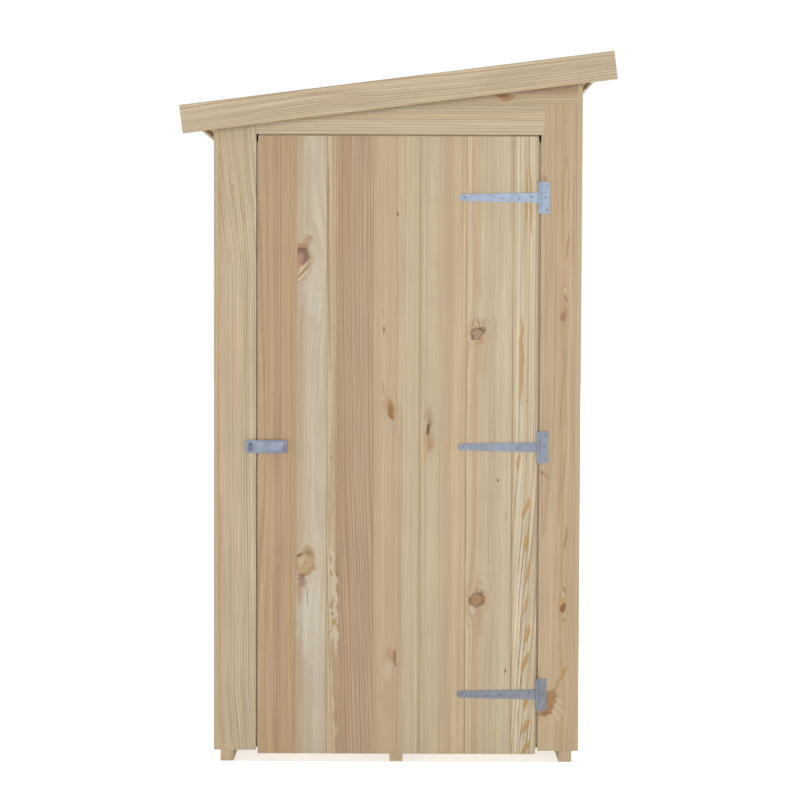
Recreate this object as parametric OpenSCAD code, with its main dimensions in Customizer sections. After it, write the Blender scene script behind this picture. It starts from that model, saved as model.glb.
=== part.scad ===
// Lean-to shed of pine boards with a boarded door on three T hinges.
// Front towards -Y, low eave towards -X, high eave towards +X, ground at Z = 0.

/* [Shed] */
// Width over the side cladding
shed_w = 1160; // [1000:2:1600]
// Depth over the front and back cladding
shed_d = 1606; // [1000:2:2400]

/* [Base] */
// Width of a bearer
bearer_w = 42; // [36:1:60]
// Height of a bearer
bearer_h = 45; // [36:1:80]
// Distance of the outer bearers in from the side cladding
bearer_inset = 5; // [2:1:40]
// Thickness of the floor boards
floor_t = 16; // [12:1:28]

/* [Frame] */
// Side of the square posts, studs and rails
stud = 42; // [34:1:60]
// Height of the rafters and of the purlin
rafter_h = 60; // [45:1:90]
// Height of the middle rails' underside above the floor
mid_rail_h = 930; // [600:10:1200]

/* [Cladding] */
// Thickness of the wall boards
clad_t = 15; // [12:0.5:24]
// Height of the cladding's lower edge above the ground
clad_bottom = 39; // [20:1:50]
// Width of the front board left of the door
left_board_w = 119; // [100:1:160]
// Width of the front board right of the door
right_board_w = 114.5; // [100:0.5:160]
// Height of the board over the door
lintel_h = 93.5; // [60:0.5:140]
// How far the board over the door is let into the right board
lintel_let_in = 9.5; // [1:0.5:20]
// Least height of the tapered board over the lintel
gable_min_h = 5.7; // [3:0.1:60]

/* [Door] */
// Height of the door opening's top above the ground
opening_top = 1991.5; // [1800:0.5:2150]
// Height of the door's lower edge above the ground
door_bottom = 28; // [20:1:40]
// Gap between the door and the left front board
latch_gap = 5.5; // [5:0.5:8]
// Gap between the door and the right front board
hinge_gap = 7; // [6:0.5:9]
// Gap over the door
top_gap = 5; // [5:0.5:10]
// Thickness of the door boards
door_t = 15; // [12:0.5:24]
// Height of a ledge on the back of the door
ledge_h = 95; // [60:1:140]
// Thickness of the ledges and braces
ledge_t = 18; // [12:1:26]
// Gap between the ends of the ledges and the door stops
ledge_gap = 7; // [6:0.5:20]
// Width of a brace along the ledge that it stands on
brace_w = 90; // [50:1:120]
// Width of a door stop
stop_w = 25; // [18:1:36]
// Thickness of a door stop
stop_t = 20; // [12:1:24]
// Gap between the closed door and its stops
stop_gap = 5; // [5:0.5:10]
// How far the side stops end below the opening's top
stop_short = 21.5; // [15:0.5:40]
// How far the top stop laps behind the door
head_stop_lap = 8; // [3:0.5:9]

/* [Roof] */
// Slope of the roof
pitch = 7.3; // [4:0.1:12]
// Overhang of the roof past each side wall
side_over = 97; // [50:1:200]
// Overhang of the roof past the front and the back wall
front_over = 75; // [45:1:200]
// Height of the fascia boards
fascia_h = 88; // [70:1:140]
// Thickness of the fascia boards
fascia_t = 18; // [12:1:28]
// Thickness of the roof boards
deck_t = 14; // [12:1:24]
// How far the roof boards lie below the fascia's top edge
deck_drop = 1; // [0:0.5:8]
// Height of the eave boards
eave_h = 28; // [22:1:60]
// Thickness of the eave boards
eave_t = 12; // [8:1:22]
// Gap between sloping timbers and what they bear on
seat_gap = 0.2; // [0.1:0.1:0.5]

/* [Hinges] */
// Length of a hinge strap from its pin to its tip
strap_len = 254.5; // [150:0.5:400]
// Width of a hinge strap at its pin
strap_w = 32; // [24:1:44]
// Width of a hinge strap at its tip
strap_tip_w = 21; // [12:1:22]
// Width of a hinge plate from its pin to its outer edge
plate_w = 30.5; // [24:0.5:44]
// Height of a hinge plate
plate_h = 100; // [80:1:140]
// Thickness of the hinge and hasp steel
steel_t = 2.2; // [1.5:0.1:2.4]
// Outer radius of a hinge barrel
barrel_r = 5; // [5:0.1:5.5]
// Radius of a hinge pin
pin_r = 2.5; // [2:0.1:2.5]
// Gap round a pin in its bore
pin_gap = 0.25; // [0.15:0.05:0.3]
// Gap between neighbouring knuckles
knuckle_gap = 0.6; // [0.4:0.1:1.2]
// How far a hinge pin stands out of its plate's top
pin_stub = 4; // [1:0.5:8]
// Distance of the outer hinges from the ends of the door
hinge_end = 192; // [100:1:400]

/* [Hasp] */
// Height of the hasp above the door's lower edge
hasp_up = 978; // [600:1:1300]
// Width of the hasp
hasp_w = 41; // [34:1:50]
// Distance of the hasp's pin in from the door's edge
hasp_in = 88.5; // [80:0.5:110]
// Length of the hasp's leaf on the door
hasp_leaf_len = 66; // [40:1:72]
// Radius of the hasp's barrel
hasp_barrel_r = 4.5; // [4.2:0.1:5.5]
// Gap between the hasp's barrel and the door
hasp_lift = 0.4; // [0.3:0.1:1]
// Half height of the hasp's middle knuckle
hasp_knuckle = 8; // [5:0.5:11]
// Distance of the staple from the opening's edge
staple_in = 18.5; // [17:0.5:30]
// Radius of the staple's wire
staple_r = 2.5; // [2:0.1:3]
// Radius of the staple's bend, at the middle of its wire
staple_bend = 8; // [7.5:0.1:9]
// Length of the staple's straight legs
staple_leg = 10; // [9:0.5:12]
// Height of the staple's plate
staple_plate_h = 38; // [30:1:40]
// Width of the staple's plate
staple_plate_w = 26; // [18:1:30]
// Gap between the staple and the ends of the slot
slot_end_gap = 4.5; // [2:0.5:5]
// Gap between the staple and the sides of the slot
slot_side_gap = 3; // [2.5:0.1:4]
// Distance from the staple to the hasp's tip
hasp_tip = 16.5; // [14:0.5:24]

/* [Hidden] */
$fn = 48;

// Colours
pine = [0.78, 0.69, 0.56];
pine_dark = [0.66, 0.54, 0.40];
pine_sawn = [0.72, 0.61, 0.46];
zinc = [0.62, 0.67, 0.75];

// Walls: outer faces, and the inner faces of their cladding
front_y = -shed_d / 2;
back_y = shed_d / 2;
front_in = front_y + clad_t;
back_in = back_y - clad_t;
side_x = shed_w / 2;
side_in = side_x - clad_t;
stud_x = side_in - stud;
front_stud = front_in + stud;
back_stud = back_in - stud;

// Base
door_back = front_y + door_t;
base_front = max(front_in, door_back) + stop_gap;
base_back = back_in - stop_gap;
floor_top = bearer_h + floor_t;
bearer_out = side_in - bearer_inset;

// Door opening, door and stops
open_x0 = -side_in + left_board_w;
open_x1 = side_in - right_board_w;
door_x0 = open_x0 + latch_gap;
door_x1 = open_x1 - hinge_gap;
door_top = opening_top - top_gap;
stop_top = opening_top - stop_short;
ledge_x0 = open_x0 + stop_w + ledge_gap;
ledge_x1 = open_x1 - stop_w - ledge_gap;
ledge_back = door_back + ledge_t;
head_rail_up = 6;
lintel_top = opening_top + lintel_h;
mid_rail_z = floor_top + mid_rail_h;

// Roof: depths are measured square to the slope, down from the fascia's top edge
deck_under = deck_drop + deck_t;
frame_top = deck_under + seat_gap;
rafter_under = frame_top + rafter_h;
roof_mid = lintel_top + gable_min_h - tan(pitch) * open_x0
  - (fascia_h / 2 - deck_under) / cos(pitch);
slope_half = (side_x + side_over) / cos(pitch);
roof_y = shed_d / 2 + front_over;
deck_y = roof_y - fascia_t;

// Hinges
hinge_x = open_x1 - hinge_gap / 2;
hinge_y = front_y - barrel_r;
hinge_top_z = door_top - hinge_end;
hinge_bottom_z = door_bottom + hinge_end;
hinge_middle_z = (hinge_top_z + hinge_bottom_z) / 2;
bore_r = pin_r + pin_gap;
knuckle_notch = 0.5;

// Hasp
hasp_z = door_bottom + hasp_up;
hasp_x = door_x0 + hasp_in;
hasp_y = front_y - hasp_barrel_r - hasp_lift;
hasp_pin_r = 2;
staple_x = open_x0 - staple_in;
hasp_leaf_h = hasp_w - 5;
hasp_corner = 11;
slot_w = 2 * (staple_r + slot_side_gap);
slot_h = 2 * (staple_bend + staple_r + slot_end_gap);

// Height at x of the plane that lies a depth d below the roof's top edge
function roof_z(x, d) = roof_mid + tan(pitch) * x + (fascia_h / 2 - d) / cos(pitch);

// Outline from z0 up to that plane
function up_to_roof(x0, x1, z0, d) =
  [[x0, z0], [x1, z0], [x1, roof_z(x1, d)], [x0, roof_z(x0, d)]];

// Straight timber between two corners
module timber(x0, x1, y0, y1, z0, z1) {
  translate([x0, y0, z0]) cube([x1 - x0, y1 - y0, z1 - z0]);
}

// Timber whose outline lies in XZ and that runs from y0 to y1
module timber_y(y0, y1, outline) {
  translate([0, y1, 0]) rotate([90, 0, 0]) linear_extrude(y1 - y0) polygon(outline);
}

// Roof timber: s0 to s1 along the slope, from d0 to d1 below the top edge
module roof_timber(s0, s1, y0, y1, d0, d1) {
  translate([0, 0, roof_mid]) rotate([0, -pitch, 0])
    timber(s0, s1, y0, y1, fascia_h / 2 - d1, fascia_h / 2 - d0);
}

// Base
module bearer(x0) {
  color(pine) timber(x0, x0 + bearer_w, base_front, base_back, 0, bearer_h);
}

module bearer_left() { bearer(-bearer_out); }
module bearer_middle() { bearer(-bearer_w / 2); }
module bearer_right() { bearer(bearer_out - bearer_w); }

module floor_boards() {
  color(pine) timber(-side_in, side_in, base_front, back_in, bearer_h, floor_top);
}

// Frame
module post_pair(y0, y1) {
  color(pine_sawn) {
    timber(-side_in, -stud_x, y0, y1, floor_top, roof_z(-stud_x, rafter_under));
    timber(stud_x, side_in, y0, y1, floor_top, roof_z(stud_x, rafter_under));
  }
}

module front_posts() { post_pair(front_in, front_stud); }
module back_posts() { post_pair(back_stud, back_in); }

module jamb_studs() {
  under = rafter_under + seat_gap;
  color(pine_sawn)
    for (x0 = [open_x0 - stud, open_x1])
      timber_y(front_in, front_stud, up_to_roof(x0, x0 + stud, floor_top, under));
}

module door_stops() {
  y0 = door_back + stop_gap;
  color(pine_dark) {
    timber(open_x0, open_x0 + stop_w, y0, y0 + stop_t, floor_top, stop_top);
    timber(open_x1 - stop_w, open_x1, y0, y0 + stop_t, floor_top, stop_top);
    timber(door_x0, door_x1, y0, y0 + stop_t, door_top - head_stop_lap,
      opening_top + head_rail_up);
  }
}

module side_rails(x0, x1) {
  color(pine_sawn)
    for (z = [floor_top, mid_rail_z])
      timber(x0, x1, front_stud, back_stud, z, z + stud);
}

module left_rails() { side_rails(-side_in, -stud_x); }
module right_rails() { side_rails(stud_x, side_in); }

module back_rails() {
  color(pine_sawn)
    for (z = [floor_top, mid_rail_z])
      timber(-stud_x, stud_x, back_stud, back_in, z, z + stud);
}

module top_plate(x0, x1, inner_x) {
  color(pine_sawn)
    timber_y(front_in, back_in,
      up_to_roof(x0, x1, roof_z(inner_x, rafter_under), frame_top));
}

module top_plate_left() { top_plate(-side_in, -stud_x, -stud_x); }
module top_plate_right() { top_plate(stud_x, side_in, stud_x); }

module head_rail() {
  z0 = opening_top + head_rail_up;
  color(pine_sawn) timber(open_x0, open_x1, front_in, front_stud, z0, z0 + stud / 2);
}

module rafter(y0, y1) {
  color(pine_sawn) timber_y(y0, y1, [
    [-stud_x, roof_z(-stud_x, rafter_under)],
    [stud_x, roof_z(stud_x, rafter_under)],
    [stud_x, roof_z(stud_x, frame_top)],
    [-stud_x, roof_z(-stud_x, frame_top)]
  ]);
}

module rafter_front() { rafter(front_in, front_stud); }
module rafter_back() { rafter(back_stud, back_in); }

module purlin() {
  color(pine_sawn) timber_y(front_stud, back_stud, [
    [-stud / 2, roof_z(-stud / 2, rafter_under)],
    [stud / 2, roof_z(stud / 2, rafter_under)],
    [stud / 2, roof_z(stud / 2, frame_top)],
    [-stud / 2, roof_z(-stud / 2, frame_top)]
  ]);
}

// Cladding
module side_wall(x0, x1) {
  color(pine) timber_y(front_y, back_y, up_to_roof(x0, x1, clad_bottom, frame_top));
}

module left_wall() { side_wall(-side_x, -side_in); }
module right_wall() { side_wall(side_in, side_x); }

module back_wall() {
  color(pine) timber_y(back_in, back_y,
    up_to_roof(-side_in, side_in, clad_bottom, frame_top));
}

module front_board_left() {
  color(pine) timber_y(front_y, front_in,
    up_to_roof(-side_in, open_x0, clad_bottom, frame_top));
}

module front_board_right() {
  color(pine) timber_y(front_y, front_in, [
    [open_x1, clad_bottom], [side_in, clad_bottom], [side_in, lintel_top],
    [open_x1 + lintel_let_in, lintel_top], [open_x1 + lintel_let_in, opening_top],
    [open_x1, opening_top]
  ]);
}

module lintel_board() {
  color(pine) timber(open_x0, open_x1 + lintel_let_in, front_y, front_in,
    opening_top, lintel_top);
}

module gable_board() {
  color(pine) timber_y(front_y, front_in,
    up_to_roof(open_x0, side_in, lintel_top, frame_top));
}

// Roof
module roof_deck() {
  half = slope_half - eave_t - seat_gap;
  color(pine) roof_timber(-half, half, -deck_y, deck_y, deck_drop, deck_under);
}

module fascia(y0) {
  color(pine) roof_timber(-slope_half, slope_half, y0, y0 + fascia_t, 0, fascia_h);
}

module fascia_front() { fascia(-roof_y); }
module fascia_back() { fascia(deck_y); }

module eave_board(s0) {
  color(pine) roof_timber(s0, s0 + eave_t, -deck_y, deck_y, 0, eave_h);
}

module eave_board_low() { eave_board(-slope_half); }
module eave_board_high() { eave_board(slope_half - eave_t); }

// Hinges: each is drawn with its pin on the Z axis and its leaves behind it
module at_hinge(z) { translate([hinge_x, hinge_y, z]) children(); }

module hinge_plate(z) {
  leaf_y = barrel_r - steel_t;
  knuckle_z0 = strap_w / 2 + knuckle_gap;
  knuckle_h = plate_h / 2 - knuckle_z0;
  notch_x = barrel_r + knuckle_notch;
  color(zinc) at_hinge(z) {
    difference() {
      translate([0, leaf_y, -plate_h / 2]) cube([plate_w, steel_t, plate_h]);
      translate([-1, leaf_y - 1, -knuckle_z0])
        cube([notch_x + 1, steel_t + 2, 2 * knuckle_z0]);
    }
    for (z0 = [-plate_h / 2, knuckle_z0])
      translate([0, 0, z0]) cylinder(r = barrel_r, h = knuckle_h);
    translate([0, 0, -plate_h / 2]) cylinder(r = pin_r, h = plate_h + pin_stub);
  }
}

module hinge_plate_top() { hinge_plate(hinge_top_z); }
module hinge_plate_middle() { hinge_plate(hinge_middle_z); }
module hinge_plate_bottom() { hinge_plate(hinge_bottom_z); }

module hinge_strap(z) {
  tip_r = strap_tip_w / 2;
  color(zinc) at_hinge(z) difference() {
    union() {
      translate([0, barrel_r, 0]) rotate([90, 0, 0]) linear_extrude(steel_t) {
        polygon([
          [0, -strap_w / 2], [0, strap_w / 2],
          [-strap_len + tip_r, tip_r], [-strap_len + tip_r, -tip_r]
        ]);
        translate([-strap_len + tip_r, 0]) circle(r = tip_r);
      }
      translate([0, 0, -strap_w / 2]) cylinder(r = barrel_r, h = strap_w);
    }
    translate([0, 0, -strap_w / 2 - 1]) cylinder(r = bore_r, h = strap_w + 2);
  }
}

module hinge_strap_top() { hinge_strap(hinge_top_z); }
module hinge_strap_middle() { hinge_strap(hinge_middle_z); }
module hinge_strap_bottom() { hinge_strap(hinge_bottom_z); }

// Door
module door_panel() {
  color(pine) timber(door_x0, door_x1, front_y, door_back, door_bottom, door_top);
}

module door_ledge(z) {
  color(pine_sawn) timber(ledge_x0, ledge_x1, door_back, ledge_back,
    z - ledge_h / 2, z + ledge_h / 2);
}

module door_ledge_top() { door_ledge(hinge_top_z); }
module door_ledge_middle() { door_ledge(hinge_middle_z); }
module door_ledge_bottom() { door_ledge(hinge_bottom_z); }

module door_braces() {
  color(pine_sawn)
    for (z = [[hinge_bottom_z, hinge_middle_z], [hinge_middle_z, hinge_top_z]])
      timber_y(door_back, ledge_back, [
        [ledge_x1 - brace_w, z[0] + ledge_h / 2], [ledge_x1, z[0] + ledge_h / 2],
        [ledge_x0 + brace_w, z[1] - ledge_h / 2], [ledge_x0, z[1] - ledge_h / 2]
      ]);
}

// Hasp
module hasp_leaf() {
  full_x = hasp_barrel_r + knuckle_notch;
  color(zinc) translate([hasp_x, front_y, hasp_z]) {
    difference() {
      union() {
        translate([-hasp_leaf_len, -steel_t, -hasp_leaf_h / 2])
          cube([hasp_leaf_len - full_x, steel_t, hasp_leaf_h]);
        translate([-full_x, -steel_t, -hasp_knuckle])
          cube([full_x, steel_t, 2 * hasp_knuckle]);
        translate([0, -hasp_barrel_r - hasp_lift, -hasp_knuckle])
          cylinder(r = hasp_barrel_r, h = 2 * hasp_knuckle);
      }
      translate([0, -hasp_barrel_r - hasp_lift, -hasp_knuckle - 1])
        cylinder(r = hasp_pin_r + pin_gap, h = 2 * hasp_knuckle + 2);
    }
  }
}

module hasp_strap() {
  tip = staple_x - hasp_tip - hasp_x;
  knuckle_z0 = hasp_knuckle + knuckle_gap;
  notch = hasp_barrel_r + knuckle_notch;
  color(zinc) translate([hasp_x, hasp_y, hasp_z]) {
    translate([0, steel_t / 2, 0]) rotate([90, 0, 0]) linear_extrude(steel_t) difference() {
      union() {
        translate([tip + hasp_corner, -hasp_w / 2]) square([-tip - hasp_corner, hasp_w]);
        translate([tip, -hasp_w / 2 + hasp_corner])
          square([hasp_corner + 1, hasp_w - 2 * hasp_corner]);
        for (z = [-1, 1])
          translate([tip + hasp_corner, z * (hasp_w / 2 - hasp_corner)])
            circle(r = hasp_corner);
      }
      translate([-notch, -knuckle_z0]) square([notch + 1, 2 * knuckle_z0]);
      translate([staple_x - hasp_x, 0]) {
        square([slot_w, slot_h - slot_w], center = true);
        for (z = [-1, 1])
          translate([0, z * (slot_h - slot_w) / 2]) circle(r = slot_w / 2);
      }
    }
    for (z0 = [-hasp_w / 2, knuckle_z0])
      translate([0, 0, z0]) cylinder(r = hasp_barrel_r, h = hasp_w / 2 - knuckle_z0);
    translate([0, 0, -hasp_w / 2]) cylinder(r = hasp_pin_r, h = hasp_w);
  }
}

module hasp_staple() {
  color(zinc) translate([staple_x, front_y, hasp_z]) {
    translate([-staple_plate_w / 2, -steel_t, -staple_plate_h / 2])
      cube([staple_plate_w, steel_t, staple_plate_h]);
    for (z = [-staple_bend, staple_bend])
      translate([0, 0, z]) rotate([90, 0, 0]) cylinder(r = staple_r, h = staple_leg);
    translate([0, -staple_leg, 0]) rotate([0, 90, 0]) rotate([0, 0, 180])
      rotate_extrude(angle = 180) translate([staple_bend, 0]) circle(r = staple_r);
  }
}

bearer_left();
bearer_middle();
bearer_right();
floor_boards();  // floor
front_posts();
back_posts();
jamb_studs();
door_stops();
left_rails();
right_rails();
back_rails();
top_plate_left();
top_plate_right();
head_rail();
rafter_front();
rafter_back();
purlin();
left_wall();
right_wall();
back_wall();
front_board_left();
front_board_right();
lintel_board();
gable_board();
roof_deck();
fascia_front();
fascia_back();
eave_board_low();
eave_board_high();
hinge_plate_top();
hinge_plate_middle();
hinge_plate_bottom();
hasp_staple();
door_panel();
door_ledge_top();
door_ledge_middle();
door_ledge_bottom();
door_braces();
hinge_strap_top();
hinge_strap_middle();
hinge_strap_bottom();
hasp_leaf();
hasp_strap();
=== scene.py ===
import math
import random

import bpy
from mathutils import Matrix, Vector


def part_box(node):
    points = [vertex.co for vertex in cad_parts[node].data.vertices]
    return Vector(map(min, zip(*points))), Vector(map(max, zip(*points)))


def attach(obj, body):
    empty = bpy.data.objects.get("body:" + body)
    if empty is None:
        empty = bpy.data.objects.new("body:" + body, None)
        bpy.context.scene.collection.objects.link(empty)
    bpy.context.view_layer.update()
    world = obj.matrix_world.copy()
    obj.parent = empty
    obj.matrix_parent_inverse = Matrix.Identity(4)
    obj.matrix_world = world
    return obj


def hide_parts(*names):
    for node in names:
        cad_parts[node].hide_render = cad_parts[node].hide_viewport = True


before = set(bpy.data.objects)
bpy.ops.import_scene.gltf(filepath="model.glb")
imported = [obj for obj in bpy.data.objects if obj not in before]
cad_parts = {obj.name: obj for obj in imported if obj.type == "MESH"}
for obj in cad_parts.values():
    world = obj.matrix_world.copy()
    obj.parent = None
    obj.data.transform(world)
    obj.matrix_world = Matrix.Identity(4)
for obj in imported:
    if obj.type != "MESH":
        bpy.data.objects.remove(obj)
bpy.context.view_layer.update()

across, along, up = Vector((1, 0, 0)), Vector((0, 1, 0)), Vector((0, 0, 1))
slope = math.radians(7.3)
roofRun = Vector((math.cos(slope), 0, math.sin(slope)))
roofUp = Vector((-math.sin(slope), 0, math.cos(slope)))


# camera, light and floor

cameraSetup = {"place": (0.0087, -8.2876, 1.4996), "turn": (87.367, -0.22, 0.01), "lens": 106.65,
               "reach": 200}
lightSetup = {"gain": 1.46, "horizon": 1.02, "above": 0.25, "bandTop": 0.45, "bandSoft": 0.15}
suns = [{"name": "front", "energy": 1.25, "soft": 14, "way": (0.06, 1.0, -0.03)},
        {"name": "overhead", "energy": 1.7, "soft": 50, "way": (0.0, 0.0, -1.0)},
        {"name": "back", "energy": 1.1, "soft": 14, "way": (-0.06, -1.0, -0.03)},
        {"name": "left", "energy": 1.1, "soft": 14, "way": (1.0, 0.06, -0.03)},
        {"name": "right", "energy": 1.1, "soft": 14, "way": (-1.0, 0.06, -0.03)}]
floorSetup = {"size": 60, "tone": (0.96, 0.96, 0.96, 1), "rough": 0.9, "gloss": 0.1, "glow": 0.6}


def makeCamera():
    bpy.ops.object.camera_add(location=cameraSetup["place"])
    camera = bpy.context.object
    camera.rotation_euler = [math.radians(turn) for turn in cameraSetup["turn"]]
    camera.data.lens = cameraSetup["lens"]
    camera.data.clip_end = cameraSetup["reach"]
    bpy.context.scene.camera = camera


def makeLight():
    # a sky that is brightest near the horizon, and five soft suns round the shed
    world = bpy.data.worlds.new("studioSky")
    world.use_nodes = True
    nodes, links = world.node_tree.nodes, world.node_tree.links
    heights = nodes.new("ShaderNodeSeparateXYZ")
    links.new(nodes.new("ShaderNodeTexCoord").outputs["Generated"], heights.inputs[0])
    band = nodes.new("ShaderNodeMapRange")
    band.inputs["From Min"].default_value = lightSetup["bandTop"] - lightSetup["bandSoft"]
    band.inputs["From Max"].default_value = lightSetup["bandTop"]
    band.inputs["To Min"].default_value = lightSetup["horizon"]
    band.inputs["To Max"].default_value = lightSetup["above"]
    links.new(heights.outputs["Z"], band.inputs["Value"])
    links.new(band.outputs["Result"], nodes["Background"].inputs["Strength"])
    nodes["Background"].inputs["Color"].default_value = (1, 1, 1, 1)
    bpy.context.scene.world = world
    for sun in suns:
        bpy.ops.object.light_add(type='SUN', location=(0, 0, 4))
        light = bpy.context.object
        light.name = sun["name"] + "_sun"
        light.data.energy = sun["energy"]
        light.data.angle = math.radians(sun["soft"])
        light.rotation_euler = Vector(sun["way"]).to_track_quat('-Z', 'Y').to_euler()
    bpy.context.scene.view_settings.view_transform = 'Standard'


def makeFloor():
    bpy.ops.mesh.primitive_plane_add(size=floorSetup["size"], location=(0, 0, 0))
    floor = bpy.context.object
    floor.name = "studio_floor"
    paint = bpy.data.materials.new("paleFloor")
    paint.use_nodes = True
    shader = paint.node_tree.nodes["Principled BSDF"]
    shader.inputs["Base Color"].default_value = floorSetup["tone"]
    shader.inputs["Roughness"].default_value = floorSetup["rough"]
    shader.inputs["Specular IOR Level"].default_value = floorSetup["gloss"]
    shader.inputs["Emission Color"].default_value = (1, 1, 1, 1)
    shader.inputs["Emission Strength"].default_value = floorSetup["glow"]
    floor.data.materials.append(paint)


makeCamera()
makeLight()
makeFloor()
print("camera, light and floor are set")


# working with meshes

meshSetup = {"smooth": 30, "weld": 1e-6, "flat": 0.5}


def deselectAll():
    if bpy.context.object and bpy.context.object.mode != 'OBJECT':
        bpy.ops.object.mode_set(mode='OBJECT')
    bpy.ops.object.select_all(action='DESELECT')


def pick(*pieces):
    deselectAll()
    for piece in pieces:
        piece.select_set(True)
    bpy.context.view_layer.objects.active = pieces[0]


def editWith(piece, mode='FACE', chosen=None):
    # opens the piece in edit mode with the chosen faces or edges selected, or all of it
    pick(piece)
    mesh = piece.data
    for part in (mesh.vertices, mesh.edges, mesh.polygons):
        part.foreach_set("select", [chosen is None] * len(part))
    if chosen and mode == 'FACE':
        for face in mesh.polygons:
            face.select = chosen(face)
    if chosen and mode == 'EDGE':
        for edge in mesh.edges:
            ends = [mesh.vertices[i].co for i in edge.vertices]
            edge.select = chosen((ends[0] + ends[1]) / 2, ends[1] - ends[0])
    bpy.ops.object.mode_set(mode='EDIT')
    bpy.context.tool_settings.mesh_select_mode = (False, mode == 'EDGE', mode == 'FACE')


def leaveEdit():
    bpy.ops.object.mode_set(mode='OBJECT')


def roundEdges(piece, width, segments=2, angle=35):
    pick(piece)
    bevel = piece.modifiers.new("roundedEdges", 'BEVEL')
    bevel.width = width
    bevel.segments = segments
    bevel.limit_method = 'ANGLE'
    bevel.angle_limit = math.radians(angle)
    bevel.harden_normals = False
    bpy.ops.object.modifier_apply(modifier=bevel.name)


def settle(piece, matrix=None):
    # puts the piece's place into its mesh
    pick(piece)
    if matrix is not None:
        piece.matrix_world = matrix
    bpy.ops.object.transform_apply(location=True, rotation=True, scale=True)


def copyOf(piece, matrix):
    pick(piece)
    bpy.ops.object.duplicate()
    twin = bpy.context.object
    settle(twin, matrix)
    return twin


def joinAll(pieces, name):
    pick(*pieces)
    if len(pieces) > 1:
        bpy.ops.object.join()
    whole = bpy.context.object
    whole.name = whole.data.name = name
    return whole


def remove(piece):
    bpy.data.objects.remove(piece, do_unlink=True)


def smooth(piece):
    pick(piece)
    bpy.ops.object.shade_smooth_by_angle(angle=math.radians(meshSetup["smooth"]))


def frameOf(side, deep, run, origin):
    # matrix whose X, Y and Z are a board's width, its thickness and its length
    turn = Matrix((side, deep, run)).transposed().to_4x4()
    return Matrix.Translation(origin) @ turn


def finishPiece(piece, body, slot, material, *replaced):
    piece.data.materials.clear()
    piece.data.materials.append(material)
    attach(piece, body)
    if replaced:
        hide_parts(*replaced)


# where each board lies in the log that it was sawn from

logSetup = {"pithSide": 0.055, "pithNear": 0.012, "pithFar": 0.075, "shift": 30.0}


def giveGrain(piece, run, face, seed, tone=None, heart=None, pith=None):
    # run is the way the fibres go, face the way the board's face looks
    chance = random.Random(seed)
    run = run.normalized()
    side = face.cross(run).normalized()
    deep = run.cross(side)
    corners = [vertex.co for vertex in piece.data.vertices]
    middle = sum(corners, Vector()) / len(corners)
    pithSide = chance.uniform(-1, 1) * logSetup["pithSide"]
    pithDeep = chance.uniform(logSetup["pithNear"], logSetup["pithFar"]) * chance.choice((-1, 1))
    shift = chance.uniform(0, 1) * logSetup["shift"]
    if pith:
        pithSide, pithDeep = pith
    spots = []
    for corner in corners:
        reach = corner - middle
        spots += [reach.dot(side) + pithSide, reach.dot(deep) + pithDeep, reach.dot(run) + shift]
    spotLayer = piece.data.attributes.new("logSpot", 'FLOAT_VECTOR', 'POINT')
    spotLayer.data.foreach_set("vector", spots)
    tone = chance.uniform(0, 1) if tone is None else tone
    heart = chance.uniform(0, 1) if heart is None else heart
    lookLayer = piece.data.attributes.new("boardLook", 'FLOAT_VECTOR', 'POINT')
    lookLayer.data.foreach_set("vector", [tone, heart, chance.uniform(0, 9)] * len(corners))


# tongued and grooved boards

boardSetup = {"tongue": 0.0055, "groove": 0.0062, "gap": 0.0005, "round": 0.0007}
boardBlanks = {}


def sawBoard(width, thick, length, tongue, groove):
    # the section lies in XY, width along X, and the board is drawn out along Z from 0
    key = tuple(round(size, 5) for size in (width, thick, length)) + (tongue, groove)
    if key in boardBlanks:
        return boardBlanks[key]
    half = thick / 6  # half the thickness of the tongue
    deselectAll()
    bpy.ops.mesh.primitive_plane_add(size=1, location=(0, 0, 0))
    board = bpy.context.object
    board.scale = (width, thick, 1)
    settle(board)
    for level in (-half, half):
        editWith(board)
        bpy.ops.mesh.bisect(plane_co=(0, level, 0), plane_no=(0, 1, 0))
        leaveEdit()
    if groove:
        bottom = width / 2 - boardSetup["groove"]
        editWith(board)
        bpy.ops.mesh.bisect(plane_co=(bottom, 0, 0), plane_no=(1, 0, 0))
        leaveEdit()
        editWith(board, 'FACE', lambda face: face.center.x > bottom and abs(face.center.y) < half)
        bpy.ops.mesh.delete(type='FACE')
        leaveEdit()
    if tongue:
        edgeX = -width / 2
        editWith(board, 'EDGE', lambda mid, way: mid.x < edgeX + 1e-5 and abs(mid.y) < half / 2)
        reach = (-boardSetup["tongue"], 0, 0)
        bpy.ops.mesh.extrude_region_move(TRANSFORM_OT_translate={"value": reach})
        leaveEdit()
    editWith(board)
    bpy.ops.mesh.extrude_region_move(TRANSFORM_OT_translate={"value": (0, 0, length)})
    bpy.ops.mesh.select_all(action='SELECT')
    bpy.ops.mesh.normals_make_consistent(inside=False)
    leaveEdit()
    roundEdges(board, boardSetup["round"])
    boardBlanks[key] = board
    return board


def cutOff(piece, point, normal):
    # cuts away what lies on the side of the plane that the normal points to
    editWith(piece)
    bpy.ops.mesh.bisect(plane_co=point, plane_no=normal, clear_outer=True, use_fill=True)
    leaveEdit()


def layBoards(side, deep, run, start, edges, thick, length, seed, cut=None):
    # lays a row of boards between the edges, which are measured along side from the start
    rows = []
    last = len(edges) - 2
    for i in range(last + 1):
        left = edges[i] + (boardSetup["gap"] / 2 if i else 0)
        right = edges[i + 1] - (boardSetup["gap"] / 2 if i < last else 0)
        blank = sawBoard(right - left, thick, length, i > 0, i < last)
        origin = start + side * (left + right) / 2
        board = copyOf(blank, frameOf(side, deep, run, origin))
        if cut:
            cutOff(board, *cut)
        giveGrain(board, run, deep, seed + i)
        rows.append(board)
    return rows


def evenEdges(total, count):
    return [total * i / count for i in range(count + 1)]


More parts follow.
